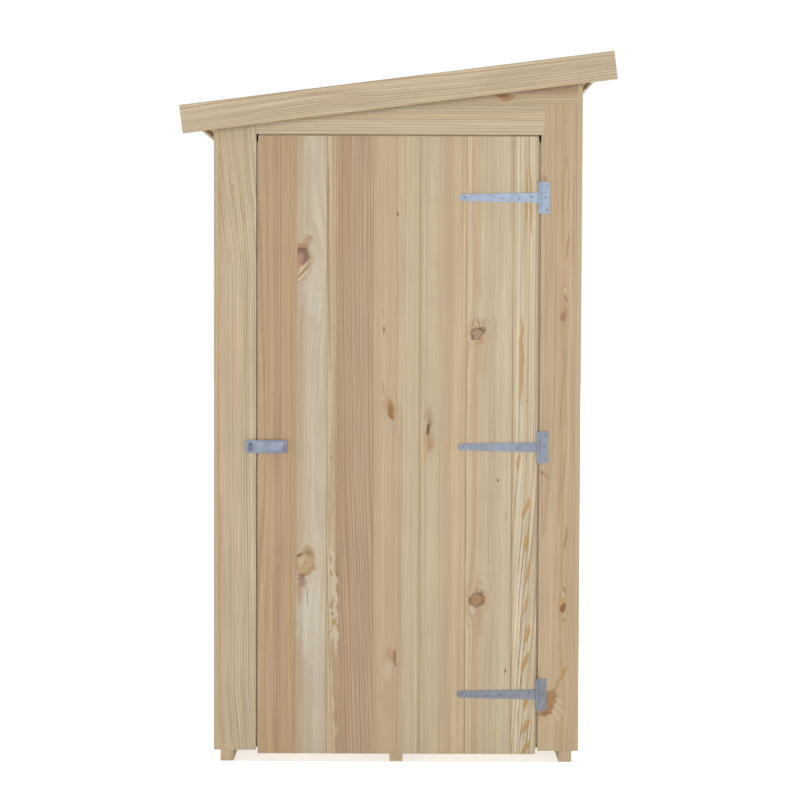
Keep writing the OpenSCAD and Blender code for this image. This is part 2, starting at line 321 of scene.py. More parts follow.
# pieces that keep a CAD solid's outline, with their edges eased

def copySolid(node, name):
    solid = bpy.data.objects.new(name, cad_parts[node].data.copy())
    bpy.context.scene.collection.objects.link(solid)
    editWith(solid)
    bpy.ops.mesh.remove_doubles(threshold=meshSetup["weld"])
    bpy.ops.mesh.dissolve_limited(angle_limit=math.radians(meshSetup["flat"]))
    leaveEdit()
    solid.data.materials.clear()
    return solid


def looseParts(solid):
    editWith(solid)
    bpy.ops.mesh.separate(type='LOOSE')
    leaveEdit()
    return list(bpy.context.selected_objects)


def longestWay(mesh):
    best = Vector()
    for edge in mesh.edges:
        way = mesh.vertices[edge.vertices[1]].co - mesh.vertices[edge.vertices[0]].co
        if way.length > best.length:
            best = way
    return best.normalized()


def thinWay(mesh, run):
    # the axis, square to the run, along which the timber is thinnest
    spans = []
    for axis in (across, along, up):
        level = axis - run * axis.dot(run)
        if level.length > 0.5:
            level.normalize()
            reach = [vertex.co.dot(level) for vertex in mesh.vertices]
            spans.append((round(max(reach) - min(reach), 4), len(spans), level))
    return min(spans)[2]


def timberPiece(node, name, seed, edge, run=None, **choices):
    # edge is how wide the edges are eased, and the choices are those of giveGrain
    parts = looseParts(copySolid(node, name))
    parts.sort(key=lambda part: tuple(round(c, 3) for c in part.data.vertices[0].co))
    for i, part in enumerate(parts):
        way = run or longestWay(part.data)
        face = thinWay(part.data, way)
        roundEdges(part, edge)
        giveGrain(part, way, face, seed + i, **choices)
    return joinAll(parts, name)


# shader helpers

def feed(tree, slot, value):
    if isinstance(value, bpy.types.NodeSocket):
        tree.links.new(value, slot)
    elif value is not None:
        slot.default_value = value


def calc(tree, operation, *values):
    node = tree.nodes.new("ShaderNodeMath")
    node.operation = operation
    for slot, value in zip(node.inputs, values):
        feed(tree, slot, value)
    return node.outputs[0]


def times(tree, first, second):
    return calc(tree, 'MULTIPLY', first, second)


def plus(tree, first, second):
    return calc(tree, 'ADD', first, second)


def vectorOf(tree, x, y, z):
    node = tree.nodes.new("ShaderNodeCombineXYZ")
    for slot, value in zip(node.inputs, (x, y, z)):
        feed(tree, slot, value)
    return node.outputs[0]


def partsOf(tree, vector):
    node = tree.nodes.new("ShaderNodeSeparateXYZ")
    feed(tree, node.inputs[0], vector)
    return node.outputs[0], node.outputs[1], node.outputs[2]


def scaled(tree, vector, factors):
    node = tree.nodes.new("ShaderNodeVectorMath")
    node.operation = 'MULTIPLY'
    feed(tree, node.inputs[0], vector)
    node.inputs[1].default_value = factors
    return node.outputs[0]


def noise(tree, vector, detail, rough=0.5, output="Fac"):
    node = tree.nodes.new("ShaderNodeTexNoise")
    feed(tree, node.inputs["Vector"], vector)
    node.inputs["Scale"].default_value = 1.0
    node.inputs["Detail"].default_value = detail
    node.inputs["Roughness"].default_value = rough
    return node.outputs[output]


def waveAlong(tree, way):
    node = tree.nodes.new("ShaderNodeTexNoise")
    node.noise_dimensions = '1D'
    feed(tree, node.inputs["W"], way)
    node.inputs["Scale"].default_value = 1.0
    node.inputs["Detail"].default_value = 1.0
    return node.outputs["Fac"]


def ease(tree, value, low, high, start=0.0, end=1.0):
    node = tree.nodes.new("ShaderNodeMapRange")
    node.interpolation_type = 'SMOOTHSTEP'
    feed(tree, node.inputs["Value"], value)
    feed(tree, node.inputs["From Min"], low)
    feed(tree, node.inputs["From Max"], high)
    node.inputs["To Min"].default_value = start
    node.inputs["To Max"].default_value = end
    return node.outputs["Result"]


def fading(tree, value, low, high):
    return ease(tree, value, low, high, 1.0, 0.0)


def swing(tree, wave, size):
    # a wave from 0 to 1 becomes one that swings half the size either way
    return calc(tree, 'MULTIPLY_ADD', wave, size, -size / 2)


def stretchedNoise(tree, spot, scales, detail=1.0, rough=0.5):
    return noise(tree, scaled(tree, spot, scales), detail, rough)


def mixed(tree, share, first, second, mode='MIX'):
    node = tree.nodes.new("ShaderNodeMix")
    node.data_type = 'RGBA'
    node.blend_type = mode
    feed(tree, node.inputs[0], share)
    feed(tree, node.inputs[6], first)
    feed(tree, node.inputs[7], second)
    return node.outputs[2]


def newGroup(name, inputs, outputs):
    # a number is a float input's default, and a word is the kind of any other input
    group = bpy.data.node_groups.new(name, 'ShaderNodeTree')
    for title, value in inputs.items():
        kind = value if isinstance(value, str) else "Float"
        socket = group.interface.new_socket(name=title, in_out='INPUT', socket_type="NodeSocket" + kind)
        if kind == "Float":
            socket.default_value = value
    for title in outputs:
        kind = "Color" if title == "Colour" else "Float"
        group.interface.new_socket(name=title, in_out='OUTPUT', socket_type="NodeSocket" + kind)
    return group, group.nodes.new("NodeGroupInput").outputs, group.nodes.new("NodeGroupOutput").inputs


def placeGroup(tree, group, values):
    node = tree.nodes.new("ShaderNodeGroup")
    node.node_tree = group
    for title, value in values.items():
        feed(tree, node.inputs[title], value)
    return node.outputs


def colour(red, green, blue):
    # a tone given in screen values, as the linear colour that a shader takes
    def linear(value):
        value /= 255
        return value / 12.92 if value < 0.04045 else ((value + 0.055) / 1.055) ** 2.4
    return tuple(linear(value) / lightSetup["gain"] for value in (red, green, blue)) + (1,)


# what all the pine shares: growth rings, fibres and knots
# a scale is in lumps of noise to the metre, and a length is in metres

ringSetup = {"drift": 0.7, "wideWave": 0.008, "wideScale": (16, 16, 1.3), "fineWave": 0.0012,
             "fineScale": (90, 90, 9), "yearScale": 95.0, "strongScale": 160.0, "late": (0.35, 0.9),
             "lateEnd": (0.93, 1.0), "streakScale": (60, 60, 0.6), "fibreScale": (750, 750, 9)}
# where a knot's parts begin and end is in knot sizes from its middle
knotSetup = {"cell": (0.085, 0.36), "smallest": 0.0022, "range": 0.0085,
             "lump": 0.7, "lumpScale": (75, 50, 3), "fray": 0.5, "frayScale": (300, 220, 3),
             "core": (0.78, 1.05), "rimIn": (0.62, 0.92), "rimOut": (1.0, 1.25), "halo": (0.9, 3.2),
             "wornScale": (110, 80, 5), "innerScale": (200, 110, 7), "flowLong": 2.4, "ripples": 7.8,
             "patchScale": (60, 34, 9), "eddyIn": (1.0, 1.3), "eddyOut": (1.6, 3.2), "pushOut": (2.5, 5.5)}
pineSetup = {"gloss": 0.3, "bump": 0.6, "relief": 0.0004, "rough": 0.56, "edgeStrength": 0.6,
             "lineScale": 300.0, "cloudShare": 0.08, "heartReach": 0.09, "heartStart": -0.02,
             "heartSoft": 0.006, "heartShare": 0.75}
knotMasks = ("Core", "Rim", "Halo", "Inner", "Eddy")
knotOutputs = ("Push",) + knotMasks


def makeLogFigure():
    group, given, made = newGroup(
        "logFigure",
        {"Spot": "Vector", "Push": 0.0, "Seed": 0.0, "Ring Width": 0.0024, "Wander": 0.03, "Uneven": 3.0},
        ("Radius", "Ring", "Streak", "Fibre"))
    x, y, z = partsOf(group, given["Spot"])
    seed = times(group, given["Seed"], 7.3)
    # the pith wanders along the log
    drift = noise(group, vectorOf(group, seed, 0.0, times(group, z, ringSetup["drift"])), 1.0, 0.4, "Color")
    driftX, driftY = partsOf(group, drift)[:2]
    pithX = times(group, calc(group, 'SUBTRACT', driftX, 0.5), given["Wander"])
    pithY = times(group, calc(group, 'SUBTRACT', driftY, 0.5), given["Wander"])
    fromX = plus(group, plus(group, x, given["Push"]), pithX)
    fromY = plus(group, y, pithY)
    reach = calc(group, 'SQRT', plus(group, times(group, fromX, fromX), times(group, fromY, fromY)))
    shifted = vectorOf(group, plus(group, x, seed), y, z)
    waveWide = stretchedNoise(group, shifted, ringSetup["wideScale"])
    waveFine = stretchedNoise(group, shifted, ringSetup["fineScale"])
    radius = plus(group, reach, swing(group, waveWide, ringSetup["wideWave"]))
    radius = plus(group, radius, swing(group, waveFine, ringSetup["fineWave"]))
    # rings of uneven width and strength, each dark on its outer side
    yearSpot = vectorOf(group, times(group, radius, ringSetup["yearScale"]), seed, 0.0)
    years = noise(group, yearSpot, 2.0, 0.6)
    turn = plus(group, calc(group, 'DIVIDE', radius, given["Ring Width"]),
                times(group, years, given["Uneven"]))
    phase = calc(group, 'FRACT', turn)
    late = times(group, ease(group, phase, *ringSetup["late"]), fading(group, phase, *ringSetup["lateEnd"]))
    strongSpot = vectorOf(group, times(group, radius, ringSetup["strongScale"]), seed, 4.0)
    strong = ease(group, noise(group, strongSpot, 1.0), 0.3, 0.7, 0.3, 1.0)
    feed(group, made["Radius"], radius)
    feed(group, made["Ring"], times(group, late, strong))
    feed(group, made["Streak"], stretchedNoise(group, shifted, ringSetup["streakScale"], 2.0, 0.55))
    feed(group, made["Fibre"], stretchedNoise(group, shifted, ringSetup["fibreScale"], 2.0, 0.6))
    return group


def makeKnotShape():
    group, given, made = newGroup(
        "knotShape", {"Aside": 0.0, "Above": 0.0, "Size": 0.008, "Stretch": 1.0, "Seed": 0.0}, knotOutputs)
    aside, above, size = given["Aside"], given["Above"], given["Size"]
    # a lumpy, frayed outline
    spot = vectorOf(group, aside, above, given["Seed"])
    lump = calc(group, 'SUBTRACT', stretchedNoise(group, spot, knotSetup["lumpScale"]), 0.5)
    fray = calc(group, 'SUBTRACT', stretchedNoise(group, spot, knotSetup["frayScale"]), 0.5)
    uneven = calc(group, 'MULTIPLY_ADD', lump, knotSetup["lump"], times(group, fray, knotSetup["fray"]))
    flat = calc(group, 'DIVIDE', above, given["Stretch"])
    square = calc(group, 'MULTIPLY_ADD', aside, aside, times(group, flat, flat))
    ratio = plus(group, calc(group, 'DIVIDE', calc(group, 'SQRT', square), size), uneven)
    feed(group, made["Core"], fading(group, ratio, *knotSetup["core"]))
    rim = times(group, ease(group, ratio, *knotSetup["rimIn"]), fading(group, ratio, *knotSetup["rimOut"]))
    worn = ease(group, stretchedNoise(group, spot, knotSetup["wornScale"]), 0.36, 0.6, 0.35, 1.0)
    feed(group, made["Rim"], times(group, rim, worn))
    feed(group, made["Halo"], fading(group, ratio, *knotSetup["halo"]))
    inner = stretchedNoise(group, spot, knotSetup["innerScale"], 2.0)
    feed(group, made["Inner"], ease(group, inner, 0.35, 0.65))
    # the fibres part round the knot, and the rings lie round it in broken ripples
    long = calc(group, 'DIVIDE', above, knotSetup["flowLong"])
    flow = calc(group, 'MULTIPLY_ADD', aside, aside, times(group, long, long))
    away = calc(group, 'DIVIDE', calc(group, 'SQRT', flow), size)
    turn = calc(group, 'MULTIPLY_ADD', away, knotSetup["ripples"], times(group, lump, 3.5))
    ripple = calc(group, 'SINE', turn)
    patchy = ease(group, stretchedNoise(group, spot, knotSetup["patchScale"]), 0.4, 0.58)
    eddy = times(group, ease(group, ripple, 0.0, 1.0), patchy)
    eddy = times(group, eddy, ease(group, away, *knotSetup["eddyIn"]))
    feed(group, made["Eddy"], times(group, eddy, fading(group, away, *knotSetup["eddyOut"])))
    area = times(group, size, size)
    part = calc(group, 'DIVIDE', area, calc(group, 'MAXIMUM', flow, area))
    fade = ease(group, away, *knotSetup["pushOut"], -1.0, 0.0)
    feed(group, made["Push"], times(group, times(group, aside, part), fade))
    return group


def makeScatteredKnots():
    group, given, made = newGroup(
        "scatteredKnots", {"Spot": "Vector", "Seed": 0.0, "Share": 0.3}, knotOutputs)
    cellX, cellZ = knotSetup["cell"]
    x, z = partsOf(group, given["Spot"])[::2]
    cells = group.nodes.new("ShaderNodeTexVoronoi")
    cells.voronoi_dimensions = '2D'
    cells.inputs["Scale"].default_value = 1.0
    cells.inputs["Randomness"].default_value = 0.8
    shiftedX = calc(group, 'MULTIPLY_ADD', x, 1 / cellX, times(group, given["Seed"], 3.7))
    spot = vectorOf(group, shiftedX, calc(group, 'DIVIDE', z, cellZ), 0.0)
    feed(group, cells.inputs["Vector"], spot)
    away = group.nodes.new("ShaderNodeVectorMath")
    away.operation = 'SUBTRACT'
    feed(group, away.inputs[0], spot)
    feed(group, away.inputs[1], cells.outputs["Position"])
    awayX, awayZ = partsOf(group, away.outputs[0])[:2]
    chance, sizeChance, tilt = partsOf(group, cells.outputs["Color"])
    there = calc(group, 'LESS_THAN', chance, given["Share"])
    # most knots are small, and where there's none its size is next to nothing
    size = calc(group, 'MULTIPLY_ADD', times(group, sizeChance, sizeChance),
                knotSetup["range"], knotSetup["smallest"])
    size = times(group, size, calc(group, 'MAXIMUM', there, 0.001))
    knots = placeGroup(group, knotShape, {
        "Aside": times(group, awayX, cellX), "Above": times(group, awayZ, cellZ),
        "Size": size, "Stretch": calc(group, 'MULTIPLY_ADD', tilt, 0.7, 1.0), "Seed": chance})
    for title in knotMasks:
        feed(group, made[title], times(group, knots[title], there))
    feed(group, made["Push"], knots["Push"])
    return group


def leaning(group, given):
    # how far a spot lies aside of and above a mark whose upper end leans to the right
    fromX = calc(group, 'SUBTRACT', given["Across"], given["At Across"])
    fromZ = calc(group, 'SUBTRACT', given["Along"], given["At Along"])
    cosine, sine = calc(group, 'COSINE', given["Lean"]), calc(group, 'SINE', given["Lean"])
    aside = calc(group, 'SUBTRACT', times(group, fromX, cosine), times(group, fromZ, sine))
    above = plus(group, times(group, fromX, sine), times(group, fromZ, cosine))
    return aside, above


# Across and Along are a spot's place on the board's face, and the At ones are the mark's
markInputs = {"Across": 0.0, "Along": 0.0, "At Across": 0.0, "At Along": 0.0, "Lean": 0.0}


def makePlacedKnot():
    group, given, made = newGroup("placedKnot", {**markInputs, "Size": 0.008, "Stretch": 1.0}, knotOutputs)
    aside, above = leaning(group, given)
    knots = placeGroup(group, knotShape, {
        "Aside": aside, "Above": above, "Size": given["Size"], "Stretch": given["Stretch"],
        "Seed": times(group, given["At Along"], 31.0)})
    for title in knotOutputs:
        feed(group, made[title], knots[title])
    return group


def makeStreakMark():
    # a long soft mark that wavers and tapers at both ends, and the strip along its right edge
    group, given, made = newGroup(
        "streakMark", {**markInputs, "Half Width": 0.004, "Half Length": 0.05, "Soft": 0.4}, ("Mask", "Edge"))
    aside, above = leaning(group, given)
    start = times(group, given["At Across"], 90.0)
    start = calc(group, 'MULTIPLY_ADD', given["At Along"], 170.0, start)
    wave = swing(group, waveAlong(group, calc(group, 'MULTIPLY_ADD', above, 22.0, start)), 1.6)
    reach = calc(group, 'DIVIDE', above, given["Half Length"])
    room = calc(group, 'SUBTRACT', 1.0, times(group, reach, reach))
    wide = times(group, calc(group, 'MAXIMUM', room, 0.0), given["Half Width"])
    away = plus(group, aside, times(group, wave, given["Half Width"]))
    signed = calc(group, 'DIVIDE', away, calc(group, 'MAXIMUM', wide, 0.00005))
    inner = calc(group, 'SUBTRACT', 1.0, given["Soft"])
    size = calc(group, 'ABSOLUTE', signed)
    mask = fading(group, size, inner, plus(group, given["Soft"], 1.0))
    mask = times(group, mask, ease(group, room, 0.0, given["Soft"]))
    feed(group, made["Mask"], mask)
    feed(group, made["Edge"], times(group, mask, ease(group, signed, 0.1, 0.8)))
    return group


def layOver(group, given, shade, mask, tone):
    # lays a tone over the shade where the mask shows, as strongly as its own input says
    return mixed(group, times(group, given[mask], given[mask + " Strength"]), shade, tone)


def makeKnotPaint():
    group, given, made = newGroup("knotPaint", {
        "Wood": "Color", **{title: 0.0 for title in knotMasks}, "Knot Wood": "Color", "Knot Dark": "Color",
        "Halo Tone": "Color", "Rim Strength": 0.7, "Halo Strength": 0.35, "Eddy Strength": 0.15,
        "Inner Strength": 0.3}, ("Colour",))
    dark = given["Knot Dark"]
    shade = layOver(group, given, given["Wood"], "Halo", given["Halo Tone"])
    shade = layOver(group, given, shade, "Eddy", dark)
    heart = layOver(group, given, given["Knot Wood"], "Inner", dark)
    shade = mixed(group, times(group, given["Core"], 0.9), shade, heart)
    feed(group, made["Colour"], layOver(group, given, shade, "Rim", dark))
    return group


def multiplied(tree, shade, light):
    return mixed(tree, 1.0, shade, vectorOf(tree, light, light, light), 'MULTIPLY')


def makePineSurface():
    # brings the wood's tone, its rings and its fibres together
    group, given, made = newGroup("pineSurface", {
        "Wood": "Color", "Late Wood": "Color", "Ring": 0.0, "Ring Strength": 0.5, "Fibre": 0.5,
        "Fibre Strength": 0.12, "Streak": 0.5, "Streak Strength": 0.1}, ("Colour", "Rough", "Height"))
    shade = layOver(group, given, given["Wood"], "Ring", given["Late Wood"])
    fibre = times(group, calc(group, 'SUBTRACT', given["Fibre"], 0.5), given["Fibre Strength"])
    streak = times(group, calc(group, 'SUBTRACT', given["Streak"], 0.5), given["Streak Strength"])
    light = calc(group, 'MULTIPLY_ADD', plus(group, fibre, streak), 2.0, 1.0)
    feed(group, made["Colour"], multiplied(group, shade, light))
    feed(group, made["Rough"], calc(group, 'MULTIPLY_ADD', given["Fibre"], 0.16, pineSetup["rough"]))
    feed(group, made["Height"], calc(group, 'MULTIPLY_ADD', given["Ring"], -0.45, given["Fibre"]))
    return group


logFigure = makeLogFigure()
knotShape = makeKnotShape()
scatteredKnots = makeScatteredKnots()
placedKnot = makePlacedKnot()
streakMark = makeStreakMark()
knotPaint = makeKnotPaint()
pineSurface = makePineSurface()


def newMaterial(name):
    material = bpy.data.materials.new(name)
    material.use_nodes = True
    tree = material.node_tree
    return material, tree, tree.nodes["Principled BSDF"]


def layerValue(tree, name):
    node = tree.nodes.new("ShaderNodeAttribute")
    node.attribute_name = name
    return node.outputs["Vector"]


def addBump(tree, shader, height, strength, relief):
    bump = tree.nodes.new("ShaderNodeBump")
    bump.inputs["Strength"].default_value = strength
    bump.inputs["Distance"].default_value = relief
    feed(tree, bump.inputs["Height"], height)
    feed(tree, shader.inputs["Normal"], bump.outputs["Normal"])


def finishPine(tree, shader, shade, rough, height, relief):
    feed(tree, shader.inputs["Base Color"], shade)
    feed(tree, shader.inputs["Roughness"], rough)
    shader.inputs["Specular IOR Level"].default_value = pineSetup["gloss"]
    addBump(tree, shader, height, pineSetup["bump"], relief)


# tones in screen values, which colour() turns into what a shader takes
toneValues = {
    "chalk": (196, 183, 159), "oat": (191, 175, 148), "cream": (202, 186, 156),
    "butter": (201, 181, 146), "sand": (197, 179, 148), "straw": (200, 179, 142),
    "wheat": (193, 171, 137), "tan": (190, 166, 132), "bran": (182, 154, 121),
    "honey": (186, 158, 120), "ash": (187, 169, 141), "rose": (182, 158, 127),
    "clay": (176, 150, 119), "umber": (158, 129, 91), "line": (150, 118, 82),
    "gold": (185, 150, 94), "plum": (146, 105, 90), "blush": (178, 140, 110),
    "rust": (168, 128, 86), "nut": (146, 102, 54), "bark": (112, 84, 62),
    "amber": (193, 162, 118), "shell": (213, 197, 168), "white": (207, 199, 181),
    "taupe": (168, 142, 116)}
pineTones = {title: colour(*values) for title, values in toneValues.items()}


def grainOver(tree, wood, figure, strengths):
    # draws the log's rings, fibres and streaks over the wood's tone
    return placeGroup(tree, pineSurface, {
        "Wood": wood, "Late Wood": pineTones["line"], "Ring": figure["Ring"], "Fibre": figure["Fibre"],
        "Streak": figure["Streak"], **{kind + " Strength": share for kind, share in strengths.items()}})


def pineMaterial(name, knotShare=0.3, ringStrength=0.35, relief=pineSetup["relief"], shade=1.0, fibre=0.1):
    material, tree, shader = newMaterial(name)
    spot = layerValue(tree, "logSpot")
    tone, heart, seed = partsOf(tree, layerValue(tree, "boardLook"))
    knots = placeGroup(tree, scatteredKnots, {"Spot": spot, "Seed": seed, "Share": knotShare})
    figure = placeGroup(tree, logFigure, {"Spot": spot, "Push": knots["Push"], "Seed": seed})
    # heartwood is darker and redder, and how far out it reaches differs from log to log
    heartEdge = calc(tree, 'MULTIPLY_ADD', heart, pineSetup["heartReach"], pineSetup["heartStart"])
    past = calc(tree, 'SUBTRACT', figure["Radius"], heartEdge)
    inHeart = fading(tree, past, -pineSetup["heartSoft"], pineSetup["heartSoft"])
    sap = mixed(tree, ease(tree, figure["Streak"], 0.3, 0.7), pineTones["sand"], pineTones["tan"])
    wood = mixed(tree, times(tree, inHeart, pineSetup["heartShare"]), sap, pineTones["rose"])
    wood = multiplied(tree, wood, calc(tree, 'MULTIPLY_ADD', tone, 0.12 * shade, 0.94 * shade))
    surface = grainOver(tree, wood, figure, {"Ring": ringStrength, "Fibre": fibre})
    painted = placeGroup(tree, knotPaint, {
        "Wood": surface["Colour"], "Knot Wood": pineTones["rust"], "Knot Dark": pineTones["bark"],
        "Halo Tone": pineTones["honey"], **{title: knots[title] for title in knotMasks}})
    finishPine(tree, shader, painted["Colour"], surface["Rough"], surface["Height"], relief)
    return material


claddingPine = pineMaterial("claddingPine")
framePine = pineMaterial("framePine", knotShare=0.25, relief=0.0006, shade=0.96, fibre=0.16)
roofPine = pineMaterial("roofPine", ringStrength=0.4, relief=0.0005, shade=0.98)
floorPine = pineMaterial("floorPine", knotShare=0.35, relief=0.0005)
basePine = pineMaterial("basePine", knotShare=0.15, ringStrength=0.4, relief=0.0006, shade=1.1, fibre=0.16)
# the door stops' pine is painted lighter than the rest, as painted light in the shaded gaps round the door
litStopPine = pineMaterial("litStopPine", knotShare=0.0, ringStrength=0.2, shade=1.65)


# the front's boards, each with its own tones, rings, knots and streaks
# places are in millimetres: across the board from its wall's middle, and up from the ground


def dotWith(tree, vector, way):
    node = tree.nodes.new("ShaderNodeVectorMath")
    node.operation = 'DOT_PRODUCT'
    feed(tree, node.inputs[0], vector)
    node.inputs[1].default_value = way
    return node.outputs["Value"]


def keptPart(tree, mask, aside, above, mark):
    # a mark can end at a line on its left, on its right or above it
    ends = (("leftAt", aside, 'GREATER_THAN'), ("rightAt", aside, 'LESS_THAN'), ("topAt", above, 'LESS_THAN'))
    for key, way, test in ends:
        if key in mark:
            mask = times(tree, mask, calc(tree, test, way, mark[key] / 1000))
    return mask


def markGroup(tree, aside, above, mark):
    values = {"Across": aside, "Along": above, "At Across": mark["at"][0] / 1000,
              "At Along": mark["at"][1] / 1000, "Lean": math.radians(mark["lean"])}
    if "size" in mark:
        values.update({"Size": mark["size"] / 1000, "Stretch": mark["stretch"]})
        return placeGroup(tree, placedKnot, values)
    values.update({"Half Width": mark["wide"] / 1000, "Half Length": mark["long"] / 1000,
                   "Soft": mark["soft"]})
    return placeGroup(tree, streakMark, values)


def paintStreak(tree, shade, aside, above, mark):
    made = markGroup(tree, aside, above, mark)
    mask = keptPart(tree, made["Mask"], aside, above, mark)
    strength = times(tree, mask, mark["strength"])
    shade = mixed(tree, strength, shade, pineTones[mark["tone"]])
    if "edge" in mark:
        strength = times(tree, made["Edge"], pineSetup["edgeStrength"])
        shade = mixed(tree, strength, shade, pineTones[mark["edge"]])
    return shade


def ringSlant(tree, above, push, leans):
    # along some lengths the rings run aslant, where the board was sawn across them
    flow = push
    for low, high, turn in leans:
        rise = calc(tree, 'MINIMUM', calc(tree, 'MAXIMUM', above, low / 1000), high / 1000)
        flow = plus(tree, flow, times(tree, rise, -math.tan(math.radians(turn))))
    return flow


def bandColours(tree, aside, above, seed, push, bands, waver):
    # bands of sapwood and heartwood, whose edges waver a little along the board
    bandSpot = aside
    if waver:
        wavy = vectorOf(tree, times(tree, aside, 9.0), times(tree, above, 1.1), seed)
        wavy = swing(tree, noise(tree, wavy, 2.0), waver)
        bandSpot = plus(tree, plus(tree, aside, wavy), push)
    ramp = tree.nodes.new("ShaderNodeValToRGB")
    low, high = bands[0][0] / 1000, bands[-1][0] / 1000
    feed(tree, ramp.inputs[0], calc(tree, 'DIVIDE', calc(tree, 'SUBTRACT', bandSpot, low), high - low))
    stops = ramp.color_ramp.elements
    while len(stops) < len(bands):
        stops.new(1.0)
    for stop, (at, shade) in zip(stops, bands):
        stop.position = (at / 1000 - low) / (high - low)
        stop.color = pineTones[shade]
    return ramp.outputs["Color"]


def unevenLight(tree, wave, share):
    # a wave from 0 to 1 becomes a light that is that share stronger or weaker
    return calc(tree, 'MULTIPLY_ADD', wave, share * 2, 1 - share)


def lineLight(tree, aside, above, seed, flow, lines):
    # fine lines along the fibres, and slow clouds of lighter and darker wood
    lineSpot = vectorOf(tree, times(tree, plus(tree, aside, flow), pineSetup["lineScale"]),
                        times(tree, above, 2.6), seed)
    light = unevenLight(tree, noise(tree, lineSpot, 2.0, 0.75), lines)
    cloudSpot = vectorOf(tree, times(tree, aside, 14.0), times(tree, above, 5.0), seed)
    return times(tree, light, unevenLight(tree, noise(tree, cloudSpot, 3.0), pineSetup["cloudShare"]))


def paintKnot(tree, shade, made, aside, above, mark):
    masks = {title: keptPart(tree, made[title], aside, above, mark) for title in knotMasks}
    return placeGroup(tree, knotPaint, {
        "Wood": shade, "Knot Wood": pineTones[mark["wood"]], "Knot Dark": pineTones[mark["dark"]],
        "Halo Tone": pineTones[mark["halo"]], "Rim Strength": mark["rim"], "Halo Strength": mark["glow"],
        "Eddy Strength": mark["eddy"], "Inner Strength": mark["inner"], **masks})["Colour"]


chosenGrain = {"Fibre": 0.08, "Streak": 0.06}


def chosenBoard(name, look, side=across, run=up):
    material, tree, shader = newMaterial(name)
    place = tree.nodes.new("ShaderNodeTexCoord").outputs["Object"]
    aside, above = dotWith(tree, place, side), dotWith(tree, place, run)
    spot = layerValue(tree, "logSpot")
    seed = partsOf(tree, layerValue(tree, "boardLook"))[2]
    marks = look.get("marks", [])
    knots = {i: markGroup(tree, aside, above, mark) for i, mark in enumerate(marks) if "size" in mark}
    push = 0.0
    for i, made in knots.items():
        push = plus(tree, push, keptPart(tree, made["Push"], aside, above, marks[i]))
    flow = ringSlant(tree, above, push, look.get("leans", []))
    width, strength = look["rings"]
    figure = placeGroup(tree, logFigure, {"Spot": spot, "Push": flow, "Seed": seed, "Ring Width": width,
                                          "Uneven": look.get("uneven", 3.0)})
    waver = look.get("waver", 12) / 1000
    wood = bandColours(tree, aside, above, seed, push, look["bands"], waver)
    wood = multiplied(tree, wood, lineLight(tree, aside, above, seed, flow, look["lines"]))
    for patch in look.get("patches", []):
        wood = paintStreak(tree, wood, aside, above, patch)
    surface = grainOver(tree, wood, figure, {"Ring": strength, **chosenGrain})
    shade = surface["Colour"]
    for i, mark in enumerate(marks):
        if i not in knots:
            shade = paintStreak(tree, shade, aside, above, mark)
        elif "wood" in mark:
            shade = paintKnot(tree, shade, knots[i], aside, above, mark)
    finishPine(tree, shader, shade, surface["Rough"], surface["Height"], pineSetup["relief"])
    return material


def streak(x, z, wide, long, tone, strength, lean=0, soft=0.4, **more):
    # wide and long are half its width and length, and more can give its right edge a tone or end it
    return {"at": (x, z), "wide": wide, "long": long, "tone": tone, "strength": strength, "lean": lean,
            "soft": soft, **more}


# softer marks: a blur still has a shape, and a cloud melts into the wood round it
def blur(x, z, wide, long, tone, strength, lean=0, **more):
    return streak(x, z, wide, long, tone, strength, lean, 0.8, **more)


def cloud(x, z, wide, long, tone, strength, lean=0, soft=0.9, **more):
    return streak(x, z, wide, long, tone, strength, lean, soft, **more)


def swirl(x, z, size, stretch, lean=0):
    # a place that the rings and bands part round, with no knot painted
    return {"at": (x, z), "size": size, "stretch": stretch, "lean": lean}


def knot(x, z, size, stretch, wood, lean=0, **more):
    looks = {"dark": "bark", "halo": "tan", "rim": 0.6, "glow": 0.35, "eddy": 0.15, "inner": 0.3}
    return {**swirl(x, z, size, stretch, lean), "wood": wood, **looks, **more}


def flame(x, z, wide, long, lean):
    # where the saw ran through a ring: a golden tongue, with dark and light lines down from it
    return [streak(x - 13, z - 95, 2.0, 130, "line", 0.95, lean=6),
            streak(x - 9, z - 85, 2.8, 115, "white", 0.8, lean=6),
            streak(x + 10, z - 70, 2.0, 105, "umber", 0.55, lean=6),
            streak(x, z, wide * 1.15, long * 1.2, "gold", 0.9, lean=lean, soft=0.5, edge="umber")]


